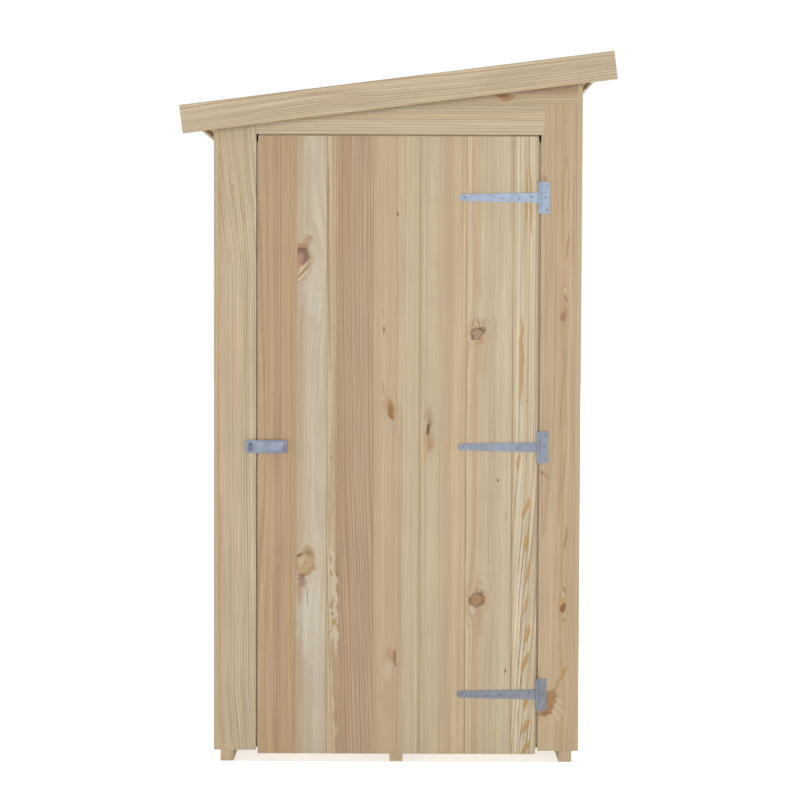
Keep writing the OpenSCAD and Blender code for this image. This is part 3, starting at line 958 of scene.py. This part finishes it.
doorLooks = [
    {"rings": (0.0085, 0.55), "lines": 0.45, "uneven": 2.0,
     "bands": [(-442, "honey"), (-430, "honey"), (-396, "honey"), (-387, "bran"), (-381, "clay"),
               (-373, "bran"), (-370, "honey")],
     "patches": [cloud(-402, 1650, 44, 700, "clay", 0.45),
                 cloud(-400, 760, 26, 200, "tan", 0.5),
                 cloud(-410, 250, 30, 180, "tan", 0.4)]},
    {"rings": (0.009, 0.18), "waver": 0, "lines": 0.34,
     "bands": [(-370, "honey"), (-361, "honey"), (-353, "bran"), (-343, "honey"), (-326, "bran"),
               (-317.5, "bran"), (-316.5, "ash"), (-303, "ash"), (-294, "oat"), (-272, "chalk"),
               (-236, "chalk"), (-228, "sand"), (-222, "wheat")],
     "patches": [cloud(-284, 500, 24, 260, "white", 0.7, soft=0.97),
                 cloud(-250, 500, 26, 380, "white", 0.3),
                 cloud(-262, 1500, 30, 130, "white", 0.5),
                 cloud(-304, 1200, 9, 260, "bran", 0.35),
                 cloud(-304, 300, 9, 200, "bran", 0.3)],
     "marks": [
         streak(-364, 1000, 1.8, 1100, "clay", 0.8),
         streak(-349, 900, 1.8, 1200, "clay", 0.8),
         streak(-336, 1100, 1.6, 1000, "rust", 0.6),
         streak(-325, 1000, 1.8, 1300, "clay", 0.8),
         # the upper knot, cut through at the edge of the darker wood
         knot(-312, 1592, 40, 1.4, "tan", lean=18, dark="umber", halo="oat", rim=0.4, glow=0.15, eddy=0.0,
              leftAt=-317),
         cloud(-283, 1652, 12, 34, "rust", 0.65, lean=42),
         blur(-302, 1640, 7, 26, "rust", 0.8, lean=84, leftAt=-317),
         knot(-303, 1612, 22, 1.25, "plum", dark="bark", rim=0.8, glow=0.0, eddy=0.0, leftAt=-317,
              topAt=1636),
         blur(-312, 1590, 12, 36, "blush", 0.7, lean=12, leftAt=-317),
         streak(-302, 1628, 7, 20, "bark", 0.55, lean=84, soft=0.7, leftAt=-317),
         blur(-291, 1608, 4, 20, "bark", 0.4, lean=-8),
         streak(-306, 1536, 1.8, 28, "umber", 0.75, lean=40, leftAt=-317),
         streak(-295, 1562, 2.6, 38, "umber", 0.85, lean=40, leftAt=-317),
         streak(-301, 1568, 2.6, 30, "shell", 0.6, lean=40, leftAt=-317),
         streak(-303, 1556, 2, 30, "umber", 0.7, lean=42, leftAt=-317),
         streak(-299, 1546, 3, 30, "shell", 0.75, lean=42, leftAt=-317),
         streak(-316, 1598, 2.2, 44, "rust", 0.8, leftAt=-317),
         # the lower knot
         knot(-292, 634, 33, 1.15, "amber", lean=10, dark="umber", halo="tan", rim=0.45, glow=0.35,
              eddy=0.0, inner=0.6, leftAt=-317),
         cloud(-300, 645, 9, 26, "cream", 0.55, lean=24, leftAt=-317),
         blur(-308, 662, 4, 17, "bark", 0.85, lean=62, leftAt=-317),
         cloud(-276, 676, 10, 28, "rust", 0.7, lean=-56),
         cloud(-284, 670, 6, 20, "bark", 0.4, lean=-60),
         cloud(-270, 618, 6, 26, "umber", 0.5, lean=30),
         streak(-298, 600, 5, 22, "umber", 0.85, lean=84, soft=0.7, leftAt=-317),
         cloud(-300, 582, 12, 30, "plum", 0.7, lean=24, leftAt=-315),
         cloud(-304, 592, 5, 18, "bark", 0.5, lean=60, leftAt=-317),
         blur(-307, 548, 8, 60, "umber", 0.45, leftAt=-317),
         blur(-283, 528, 1.6, 44, "bark", 0.6)]},
    {"rings": (0.0088, 0.66), "lines": 0.42, "leans": [(0, 900, -2.5)], "uneven": 1.4,
     "bands": [(-222, "oat"), (-216, "sand"), (-206, "wheat"), (-196, "tan"), (-188, "clay"),
               (-176, "clay"), (-168, "bran"), (-162, "clay"), (-152, "bran"), (-140, "rose"),
               (-84, "rose"), (-76, "tan")],
     "patches": [cloud(-202, 520, 15, 190, "cream", 0.95, lean=-3, soft=0.4),
                 cloud(-213, 200, 15, 230, "butter", 0.9, lean=-4, soft=0.4),
                 cloud(-150, 1300, 40, 500, "rose", 0.5)],
     "marks": [
         blur(-208, 900, 9, 230, "clay", 0.5, lean=1),
         streak(-199, 330, 6, 130, "clay", 0.8, lean=-5, soft=0.7),
         blur(-192, 170, 4, 60, "umber", 0.5, lean=-3),
         blur(-208, 650, 4, 16, "rust", 0.6),
         blur(-188, 640, 4, 40, "umber", 0.55),
         streak(-188, 605, 4, 16, "line", 0.8, lean=10, soft=0.7),
         streak(-207, 604, 4, 14, "rust", 0.75, lean=-6, soft=0.6),
         streak(-187, 552, 4, 26, "line", 0.7, lean=-6, soft=0.7),
         streak(-206, 505, 6, 18, "umber", 0.75, lean=5, soft=0.6),
         streak(-200, 522, 3, 10, "rust", 0.6, lean=-30, soft=0.6),
         streak(-202, 475, 4, 8, "line", 0.7, soft=0.6),
         streak(-200, 448, 6, 14, "gold", 1.0, lean=6, edge="line"),
         blur(-192, 455, 3, 22, "umber", 0.5, lean=-4),
         blur(-206, 405, 5, 16, "white", 0.7, lean=8),
         streak(-209, 971, 2.6, 12, "umber", 0.7, lean=-12)]},
    {"rings": (0.0095, 0.28), "lines": 0.28,
     "bands": [(-76, "tan"), (-66, "tan"), (-50, "wheat"), (-30, "wheat"), (-8, "tan"), (8, "wheat"),
               (26, "sand"), (48, "sand"), (62, "sand"), (71, "wheat")],
     "patches": [cloud(-32, 1080, 12, 60, "oat", 0.5),
                 cloud(-40, 1700, 30, 330, "tan", 0.4),
                 cloud(-20, 240, 26, 150, "bran", 0.35)],
     "marks": [
         streak(-1, 1741, 3, 7, "bark", 0.85),
         streak(-43, 1377, 4, 14, "line", 0.9),
         streak(-46, 1431, 2, 16, "umber", 0.5),
         streak(-43, 1186, 2, 30, "umber", 0.6, lean=-12),
         cloud(-24, 1130, 16, 46, "blush", 0.6, lean=-15),
         streak(-22, 1124, 11, 38, "rust", 0.9, lean=-15, edge="umber"),
         blur(-20, 1116, 7, 32, "nut", 0.75, lean=-15),
         swirl(-24, 1125, 9, 2.6, lean=-15),
         swirl(-11, 336, 9, 2.3, lean=12),
         cloud(-22, 350, 9, 32, "rust", 0.35, lean=-20),
         streak(-27, 296, 15, 38, "shell", 0.35, soft=0.97, rightAt=0),
         streak(-2, 334, 9, 34, "nut", 0.75, lean=-6, soft=0.6, rightAt=0)]},
    {"rings": (0.0095, 0.22), "lines": 0.26,
     "bands": [(71, "tan"), (77, "wheat"), (84, "sand"), (94, "oat"), (106, "sand"), (132, "sand"),
               (142, "wheat"), (158, "tan"), (172, "wheat"), (183, "butter"), (193, "straw"),
               (204, "wheat"), (211, "straw"), (218, "tan")],
     "patches": [cloud(150, 1600, 34, 420, "tan", 0.4)],
     "marks": [
         swirl(98, 1063, 9, 3.0),
         streak(101, 1100, 11, 44, "umber", 0.55, soft=0.97),
         streak(103, 1024, 13, 44, "rust", 0.8, soft=0.95),
         cloud(88, 1000, 7, 80, "amber", 0.55),
         cloud(109, 1046, 7, 36, "ash", 0.5),
         cloud(101, 1072, 8, 34, "nut", 0.4, lean=6),
         streak(99, 1066, 5, 19, "bark", 1.0, lean=12),
         streak(95, 1051, 4, 9, "bark", 0.8, lean=-20)]},
    {"rings": (0.0078, 0.38), "lines": 0.38,
     "bands": [(218, "tan"), (222, "cream"), (232, "butter"), (244, "wheat"), (256, "wheat"), (268, "sand"),
               (284, "sand"), (302, "oat"), (314, "sand"), (336, "cream"), (352, "cream"), (364, "wheat")],
     "patches": [cloud(262, 1290, 18, 80, "tan", 0.7),
                 cloud(262, 1445, 18, 56, "chalk", 0.6, soft=0.97),
                 cloud(258, 460, 18, 70, "tan", 0.6),
                 cloud(240, 1100, 16, 240, "tan", 0.3)],
     "marks": [
         knot(273, 1378, 8, 1.7, "tan", lean=6, rim=0.9, eddy=0.1),
         knot(251, 1366, 18, 1.1, "taupe", lean=50, rim=0.9, eddy=0.15, glow=0.5),
         streak(274, 1379, 4, 11, "bark", 0.6, lean=10, soft=0.6),
         streak(262, 1384, 2.6, 13, "bark", 0.6, lean=74),
         streak(239, 1401, 2.6, 20, "umber", 0.7, lean=12),
         streak(255, 1402, 2.8, 19, "line", 0.7, lean=-16),
         streak(275, 1404, 2.4, 16, "line", 0.6, lean=-24),
         blur(266, 1397, 5, 18, "blush", 0.5, lean=-20),
         cloud(258, 1340, 8, 28, "blush", 0.6, lean=55),
         knot(274, 520, 10, 1.5, "rust", lean=8, dark="line", rim=0.6, eddy=0.1),
         knot(254, 522, 21, 1.1, "rust", lean=16, rim=0.9, eddy=0.15, glow=0.5),
         streak(274, 516, 4, 13, "bark", 0.45, lean=6, soft=0.6),
         cloud(258, 576, 8, 34, "bran", 0.6, lean=-10),
         blur(270, 560, 4, 20, "cream", 0.5, lean=-40),
         streak(252, 553, 2.8, 14, "line", 0.6, lean=30),
         streak(272, 549, 2.8, 14, "line", 0.6, lean=-40),
         blur(240, 488, 6, 18, "white", 0.5, lean=-20),
         cloud(264, 450, 10, 70, "blush", 0.35, lean=-2),
         streak(320, 902, 3, 6, "bark", 0.85),
         streak(346, 789, 2, 16, "umber", 0.6),
         streak(345, 295, 2.8, 9, "bark", 0.8, lean=10)]},
    {"rings": (0.0085, 0.7), "lines": 0.5, "leans": [(0, 1000, 4)], "waver": 6, "uneven": 2.2,
     "bands": [(364, "tan"), (369, "cream"), (376, "shell"), (392, "shell"), (402, "cream"),
               (410, "butter"), (418, "cream"), (426, "shell"), (434, "cream"), (444, "oat")],
     "marks": [
         streak(404, 1790, 4, 110, "gold", 0.8, lean=1, edge="rust"),
         streak(418, 1780, 4, 120, "gold", 0.8, lean=-1, edge="rust"),
         streak(411, 1740, 2, 160, "shell", 0.8),
         streak(391, 1290, 6, 150, "gold", 0.8, edge="rust"),
         streak(381, 1290, 2.2, 140, "shell", 0.9),
         streak(384, 958, 5, 34, "gold", 0.85, lean=8, edge="umber"),
         streak(376, 860, 2.4, 90, "umber", 0.6, lean=5),
         blur(384, 850, 5, 60, "white", 0.6, lean=4),
         *flame(409, 812, 5.5, 36, 18), *flame(410, 705, 7, 26, 6), *flame(416, 610, 3.4, 40, 8),
         *flame(411, 508, 4, 34, 10), *flame(414, 412, 6, 32, 14), *flame(409, 322, 6, 34, 18),
         *flame(412, 200, 6, 28, 18), *flame(413, 118, 7, 26, 32), *flame(412, 50, 6.2, 24, 34),
         streak(410, 1153, 2.4, 5, "umber", 0.8)]}]
doorBoards = [chosenBoard("doorBoard" + str(i + 1), look) for i, look in enumerate(doorLooks)]

leftBoardPine = chosenBoard("leftBoard", {
    "rings": (0.0086, 0.68), "lines": 0.46, "uneven": 1.0, "leans": [(1560, 2100, -6), (0, 240, -5)],
    "bands": [(-566, "tan"), (-556, "wheat"), (-540, "sand"), (-524, "sand"), (-500, "butter"),
              (-480, "oat"), (-462, "cream"), (-446, "sand")],
    "patches": [cloud(-478, 1655, 24, 60, "cream", 0.6),
                cloud(-510, 1250, 40, 260, "wheat", 0.4)],
    "marks": [
        swirl(-518, 1850, 9, 3.0),
        blur(-563, 1795, 5, 26, "blush", 0.5),
        streak(-526, 1819, 2, 74, "umber", 0.6, lean=-6),
        streak(-491, 1747, 2, 44, "umber", 0.55, lean=-12),
        streak(-459, 1780, 1.8, 44, "umber", 0.5, lean=-10),
        streak(-555, 105, 2, 58, "umber", 0.6, lean=-7),
        streak(-526, 116, 2, 70, "umber", 0.6, lean=-7),
        streak(-504, 110, 1.8, 52, "umber", 0.5, lean=-6)]})
rightBoardPine = chosenBoard("rightBoard", {
    "rings": (0.0085, 0.45), "lines": 0.38, "uneven": 2.0,
    "bands": [(451, "wheat"), (462, "tan"), (476, "tan"), (492, "wheat"), (506, "tan"), (522, "honey"),
              (536, "wheat"), (548, "wheat"), (560, "tan"), (566, "tan")],
    "patches": [cloud(484, 760, 26, 240, "wheat", 0.5),
                cloud(500, 380, 30, 150, "straw", 0.35)],
    "marks": [
        swirl(526, 1425, 9, 1.7),
        streak(525, 1428, 9, 26, "rust", 0.7, soft=0.6),
        streak(525, 1419, 9, 17, "plum", 0.6, soft=0.6),
        streak(531, 1478, 4, 15, "umber", 0.8, lean=-20),
        streak(529, 1503, 3, 9, "shell", 0.7),
        swirl(528, 500, 8, 1.9),
        streak(528, 508, 10, 27, "gold", 0.9, lean=-2, soft=0.5),
        streak(528, 497, 9.5, 18, "nut", 1.0, soft=0.35),
        blur(525, 494, 4, 11, "bark", 0.35),
        streak(532, 555, 5, 15, "umber", 0.75, lean=-16),
        streak(529, 540, 3, 8, "shell", 0.6),
        blur(532, 458, 6, 10, "rust", 0.5),
        knot(482, 196, 24, 1.7, "rust", lean=16, dark="nut", halo="wheat", rim=0.6, glow=0.7, eddy=0.0,
             inner=0.5),
        streak(466, 156, 6, 24, "nut", 0.7, lean=76, soft=0.7),
        streak(516, 262, 3, 46, "umber", 0.7, lean=26, soft=0.7),
        streak(530, 290, 7, 30, "gold", 0.85, lean=26, edge="rust"),
        cloud(498, 214, 8, 30, "rust", 0.6, lean=16),
        blur(524, 196, 3.4, 26, "shell", 0.55, lean=-52),
        blur(519, 176, 3.4, 30, "shell", 0.55, lean=-44),
        blur(508, 152, 3.4, 30, "shell", 0.5, lean=-34),
        blur(494, 138, 3, 26, "shell", 0.4, lean=-22),
        blur(540, 186, 5, 20, "bran", 0.5, lean=-30),
        streak(457, 927, 4, 7, "bark", 0.85),
        blur(468, 919, 5, 20, "rust", 0.6, lean=-60),
        blur(462, 1857, 6, 14, "rust", 0.75),
        streak(529, 2048, 1.6, 34, "umber", 0.5),
        streak(530, 1908, 3, 24, "umber", 0.6),
        streak(536, 1800, 2.6, 64, "clay", 0.8, lean=4),
        streak(534, 1640, 3.8, 50, "clay", 1.0, lean=3, edge="umber"),
        streak(527, 1260, 3.2, 80, "clay", 0.9, lean=2, edge="umber"),
        streak(519, 1150, 2, 110, "umber", 0.5, lean=3),
        streak(528, 930, 3, 100, "clay", 0.9, lean=4, edge="umber"),
        streak(516, 860, 2, 130, "umber", 0.5, lean=2),
        streak(536, 720, 4, 44, "rust", 0.8, lean=7, edge="umber")]})
lintelPine = chosenBoard("lintelBoard", {
    "rings": (0.0088, 0.5), "lines": 0.36, "uneven": 0.9,
    "bands": [(-2085, "oat"), (-2066, "sand"), (-2048, "butter"), (-2030, "cream"), (-2008, "cream"),
              (-1991, "cream")]}, side=-up, run=across)
gablePine = chosenBoard("gableBoard", {
    "rings": (0.0088, 0.34), "lines": 0.32,
    "bands": [(-2190, "bran"), (-2130, "bran"), (-2110, "wheat"), (-2085, "sand")],
    "marks": [
        swirl(-2110, 333, 13, 2.6),
        streak(-2110, 333, 13, 36, "rust", 0.9, lean=6, soft=0.5),
        blur(-2112, 331, 6, 20, "nut", 0.6, lean=6)]}, side=-up, run=across)
fasciaPine = chosenBoard("fasciaBoard", {
    "rings": (0.0086, 0.62), "lines": 0.46, "uneven": 1.4, "leans": [(-420, 0, -1.6), (100, 460, 1.4)],
    "bands": [(-2149, "wheat"), (-2138, "sand"), (-2124, "sand"), (-2104, "oat"), (-2082, "oat"),
              (-2066, "sand"), (-2054, "wheat")],
    "patches": [cloud(-2094, 120, 16, 150, "wheat", 0.5, lean=4),
                cloud(-2100, -420, 26, 200, "cream", 0.5),
                cloud(-2100, 420, 26, 160, "cream", 0.5)],
    "marks": [
        swirl(-2086, 150, 10, 4.0),
        streak(-2128, 40, 1.6, 120, "umber", 0.5, lean=4),
        streak(-2120, 60, 1.6, 130, "umber", 0.5, lean=5)]}, side=-roofUp, run=roofRun)


zincSetup = {"cloudScale": (38, 38, 38), "rolledScale": (90, 900, 900), "bump": 0.25, "relief": 0.0002}


def zincMaterial(name, light, dark, rough=0.55, metal=0.55):
    material, tree, shader = newMaterial(name)
    place = tree.nodes.new("ShaderNodeTexCoord").outputs["Object"]
    dulled = stretchedNoise(tree, place, zincSetup["cloudScale"], 4.0, 0.6)
    rolled = stretchedNoise(tree, place, zincSetup["rolledScale"], 2.0)
    feed(tree, shader.inputs["Base Color"], mixed(tree, ease(tree, dulled, 0.3, 0.7), light, dark))
    feed(tree, shader.inputs["Roughness"], calc(tree, 'MULTIPLY_ADD', dulled, 0.2, rough - 0.1))
    shader.inputs["Metallic"].default_value = metal
    addBump(tree, shader, rolled, zincSetup["bump"], zincSetup["relief"])
    return material


# the hinges' zinc is painted darker the lower it hangs: painted shade for light that falls from above
zincLitTop = zincMaterial("zincLitTop", (0.235, 0.28, 0.353, 1), (0.208, 0.248, 0.321, 1))
zincShadedMiddle = zincMaterial("zincShadedMiddle", (0.205, 0.225, 0.27, 1), (0.18, 0.20, 0.24, 1), 0.6)
zincShadedBottom = zincMaterial("zincShadedBottom", (0.19, 0.201, 0.23, 1), (0.164, 0.175, 0.203, 1), 0.62)
zincHasp = zincMaterial("zincHasp", (0.18, 0.205, 0.257, 1), (0.157, 0.178, 0.227, 1))
screwSteel = zincMaterial("screwSteel", (0.15, 0.165, 0.2, 1), (0.10, 0.11, 0.14, 1), 0.45, 0.8)
print("materials are made")


# walls of upright boards

deckPart = [Vector(vertex.co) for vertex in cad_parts["roof_deck"].data.vertices]
deckMiddle = sum(deckPart, Vector()) / len(deckPart)
deckThick = max(p.dot(roofUp) for p in deckPart) - min(p.dot(roofUp) for p in deckPart)
wallSetup = {"sideBoards": 11, "backBoards": 8, "spare": 0.2, "roofGap": 0.0002}
underDeck = deckMiddle - roofUp * (deckThick / 2 + wallSetup["roofGap"])


def wallPiece(node, name, side, outward, count, seed):
    # the boards stand side by side along the wall, and are cut off under the roof
    low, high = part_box(node)
    thick, total = sorted((high.x - low.x, high.y - low.y))
    length = high.z - low.z + wallSetup["spare"]
    ends = {1: low, 0: (low + high) / 2, -1: high}
    start = Vector((ends[round(side.x)].x, ends[round(side.y)].y, low.z))
    rows = layBoards(side, outward, up, start, evenEdges(total, count), thick, length, seed,
                     (underDeck, roofUp))
    finishPiece(joinAll(rows, name), "root", "pine_cladding", claddingPine, node)


wallPiece("left_wall", "cladding_left", along, -across, wallSetup["sideBoards"], seed=140)
wallPiece("right_wall", "cladding_right", -along, across, wallSetup["sideBoards"], seed=200)
wallPiece("back_wall", "cladding_back", across, along, wallSetup["backBoards"], seed=300)
print("side and back walls are boarded")


# floor and roof boards

deckSetup = {"boards": 12, "floorBoards": 11}


def floorPiece():
    low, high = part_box("floor")
    start = Vector((low.x, low.y, (low.z + high.z) / 2))
    edges = evenEdges(high.y - low.y, deckSetup["floorBoards"])
    rows = layBoards(along, up, across, start, edges, high.z - low.z, high.x - low.x, seed=400)
    finishPiece(joinAll(rows, "floor_boards"), "root", "pine_base", floorPine, "floor")


def deckPiece():
    low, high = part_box("roof_deck")
    reach = [(p - deckMiddle).dot(roofRun) for p in deckPart]
    start = deckMiddle + roofRun * min(reach)
    start.y = low.y
    edges = evenEdges(high.y - low.y, deckSetup["boards"])
    rows = layBoards(along, roofUp, roofRun, start, edges, deckThick, max(reach) - min(reach), seed=500)
    finishPiece(joinAll(rows, "roof_boards"), "root", "pine_roof", roofPine, "roof_deck")


floorPiece()
deckPiece()
print("floor and roof are boarded")


# frame timbers and base

timberSetup = {"ease": 0.0018, "sharp": 0.0006}
# quiet is a place for the pith well aside of the board, so that its rings run straight
quiet = {"pith": (0.14, 0.02)}
ownGrain = {"bearer_middle": {"heart": 0.0, "tone": 0.7}, "fascia_front": quiet,
            "front_board_left": quiet, "lintel_board": quiet}
ownPine = {"fascia_front": fasciaPine, "front_board_left": leftBoardPine, "front_board_right": rightBoardPine,
           "lintel_board": lintelPine, "gable_board": gablePine}
ownRun = {"front_board_left": up, "front_board_right": up, "lintel_board": across, "gable_board": across}


def timberRow(nodes, body, slot, material, seed, ending="_timber", edge="ease"):
    for i, node in enumerate(nodes):
        piece = timberPiece(node, node + ending, seed + 10 * i, timberSetup[edge],
                            ownRun.get(node), **ownGrain.get(node, {}))
        finishPiece(piece, body, slot, ownPine.get(node, material), node)


timberRow(("front_posts", "back_posts", "jamb_studs", "left_rails", "right_rails", "back_rails",
           "top_plate_left", "top_plate_right", "head_rail", "rafter_front", "rafter_back", "purlin"),
          "root", "pine_frame", framePine, seed=600)
timberRow(("bearer_left", "bearer_middle", "bearer_right"), "root", "pine_base", basePine, seed=800)
doorStops = timberPiece("door_stops", "door_stop_strips", 850, timberSetup["sharp"])
finishPiece(doorStops, "root", "pine_frame", litStopPine, "door_stops")
timberRow(("door_ledge_top", "door_ledge_middle", "door_ledge_bottom", "door_braces"),
          "door", "pine_frame", framePine, seed=900)
timberRow(("eave_board_low", "eave_board_high", "fascia_back", "fascia_front"),
          "root", "pine_roof", roofPine, seed=950, ending="_plank")
timberRow(("front_board_left", "front_board_right", "lintel_board", "gable_board"),
          "root", "pine_cladding", None, seed=1000, ending="_plank", edge="sharp")
print("frame, base and trim are made")


# door boards

doorSetup = {"seams": (0.071, 0.2185, 0.3645, 0.5115, 0.658, 0.804)}


def doorPieces():
    low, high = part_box("door_panel")
    edges = [0.0] + list(doorSetup["seams"]) + [high.x - low.x]
    start = Vector((low.x, (low.y + high.y) / 2, low.z))
    rows = layBoards(across, along, up, start, edges, high.y - low.y, high.z - low.z, seed=1100)
    for i, board in enumerate(rows):
        board.name = board.data.name = "door_board_" + str(i + 1)
        finishPiece(board, "door", "pine_cladding", doorBoards[i], "door_panel")
    return rows


doorPieces()
print("door is boarded")


# hinges, hasp and their screws

steelSetup = {"ease": 0.0004, "segments": 1, "thick": 0.0022, "barrel": 0.005, "angle": 50}
steelBodies = {"root": ["hinge_plate_top", "hinge_plate_middle", "hinge_plate_bottom", "hasp_staple"],
               "door": ["hinge_strap_top", "hinge_strap_middle", "hinge_strap_bottom", "hasp_leaf"],
               "hasp": ["hasp_strap"]}


def steelPiece(node, body):
    piece = copySolid(node, node + "_steel")
    roundEdges(piece, steelSetup["ease"], steelSetup["segments"], steelSetup["angle"])
    smooth(piece)
    # the top, middle and bottom hinges take zinc painted lighter or darker by height, as painted shade
    zincShadeByLevel = {"top": zincLitTop, "middle": zincShadedMiddle, "bottom": zincShadedBottom}
    finish = zincShadeByLevel.get(node.split("_")[-1], zincHasp)
    finishPiece(piece, body, "zinc_steel", finish, node)


for body, nodes in steelBodies.items():
    for node in nodes:
        steelPiece(node, body)

screwSetup = {"radius": 0.0036, "deep": 0.0016, "proud": 0.0005, "round": 0.0004,
              "crossLong": 0.0044, "crossWide": 0.0010, "crossDeep": 0.0008,
              "sides": 20, "stapleSize": 0.75}
# places of the screws: on the plates and straps from the pin, on the hasp from its middle
screwSpots = {"plate": [(0.0215, -0.0386), (0.0195, 0.001), (0.0215, 0.0386)],
              "strap": [(-0.026, 0.003), (-0.066, -0.0035), (-0.116, -0.002), (-0.238, 0.0)],
              "leaf": [(-0.021, -0.01), (-0.021, 0.01), (0.006, 0)],
              "staple": [(-0.0085, -0.0145), (-0.0085, 0.0145), (0.0085, -0.0145), (0.0085, 0.0145)]}


def makeScrewHead():
    deselectAll()
    bpy.ops.mesh.primitive_cylinder_add(vertices=screwSetup["sides"], radius=screwSetup["radius"],
                                        depth=screwSetup["deep"], rotation=(math.pi / 2, 0, 0))
    head = bpy.context.object
    settle(head)
    roundEdges(head, screwSetup["round"], 2, steelSetup["angle"])
    frontY = -screwSetup["deep"] / 2
    for turn in (0, 90):
        bpy.ops.mesh.primitive_cube_add(size=1, location=(0, frontY, 0), rotation=(0, math.radians(turn), 0))
        bar = bpy.context.object
        bar.scale = (screwSetup["crossLong"], screwSetup["crossDeep"] * 2, screwSetup["crossWide"])
        settle(bar)
        cross = head.modifiers.new("cross", 'BOOLEAN')
        cross.operation = 'DIFFERENCE'
        cross.object = bar
        pick(head)
        bpy.ops.object.modifier_apply(modifier=cross.name)
        remove(bar)
    smooth(head)
    return head


def screwPiece(name, body, spots, size=1.0):
    # spots lie on the plates' front face, and every screw is turned its own way
    chance = random.Random(len(name))
    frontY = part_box("front_board_left")[0].y - steelSetup["thick"]
    middleY = frontY - screwSetup["proud"] + screwSetup["deep"] * size / 2
    heads = []
    for x, z in spots:
        turn = Matrix.Rotation(chance.uniform(0, math.pi), 4, 'Y')
        place = Matrix.Translation((x, middleY, z)) @ turn @ Matrix.Scale(size, 4)
        heads.append(copyOf(screwHead, place))
    finishPiece(joinAll(heads, name), body, "zinc_steel", screwSteel)


def spotsRound(middles, kind):
    return [(x + dx, z + dz) for x, z in middles for dx, dz in screwSpots[kind]]


def middleOf(node):
    low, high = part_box(node)
    return (low.x + high.x) / 2, (low.z + high.z) / 2


screwHead = makeScrewHead()
pins = [(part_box("hinge_strap_" + level)[1].x - steelSetup["barrel"], middleOf("hinge_strap_" + level)[1])
        for level in ("top", "middle", "bottom")]
screwPiece("hinge_plate_screws", "root", spotsRound(pins, "plate"))
screwPiece("hinge_strap_screws", "door", spotsRound(pins, "strap"))
screwPiece("hasp_leaf_screws", "door", spotsRound([middleOf("hasp_leaf")], "leaf"))
screwPiece("hasp_staple_screws", "root", spotsRound([middleOf("hasp_staple")], "staple"),
           screwSetup["stapleSize"])
remove(screwHead)
print("hinges and hasp are made")

for blank in boardBlanks.values():
    remove(blank)
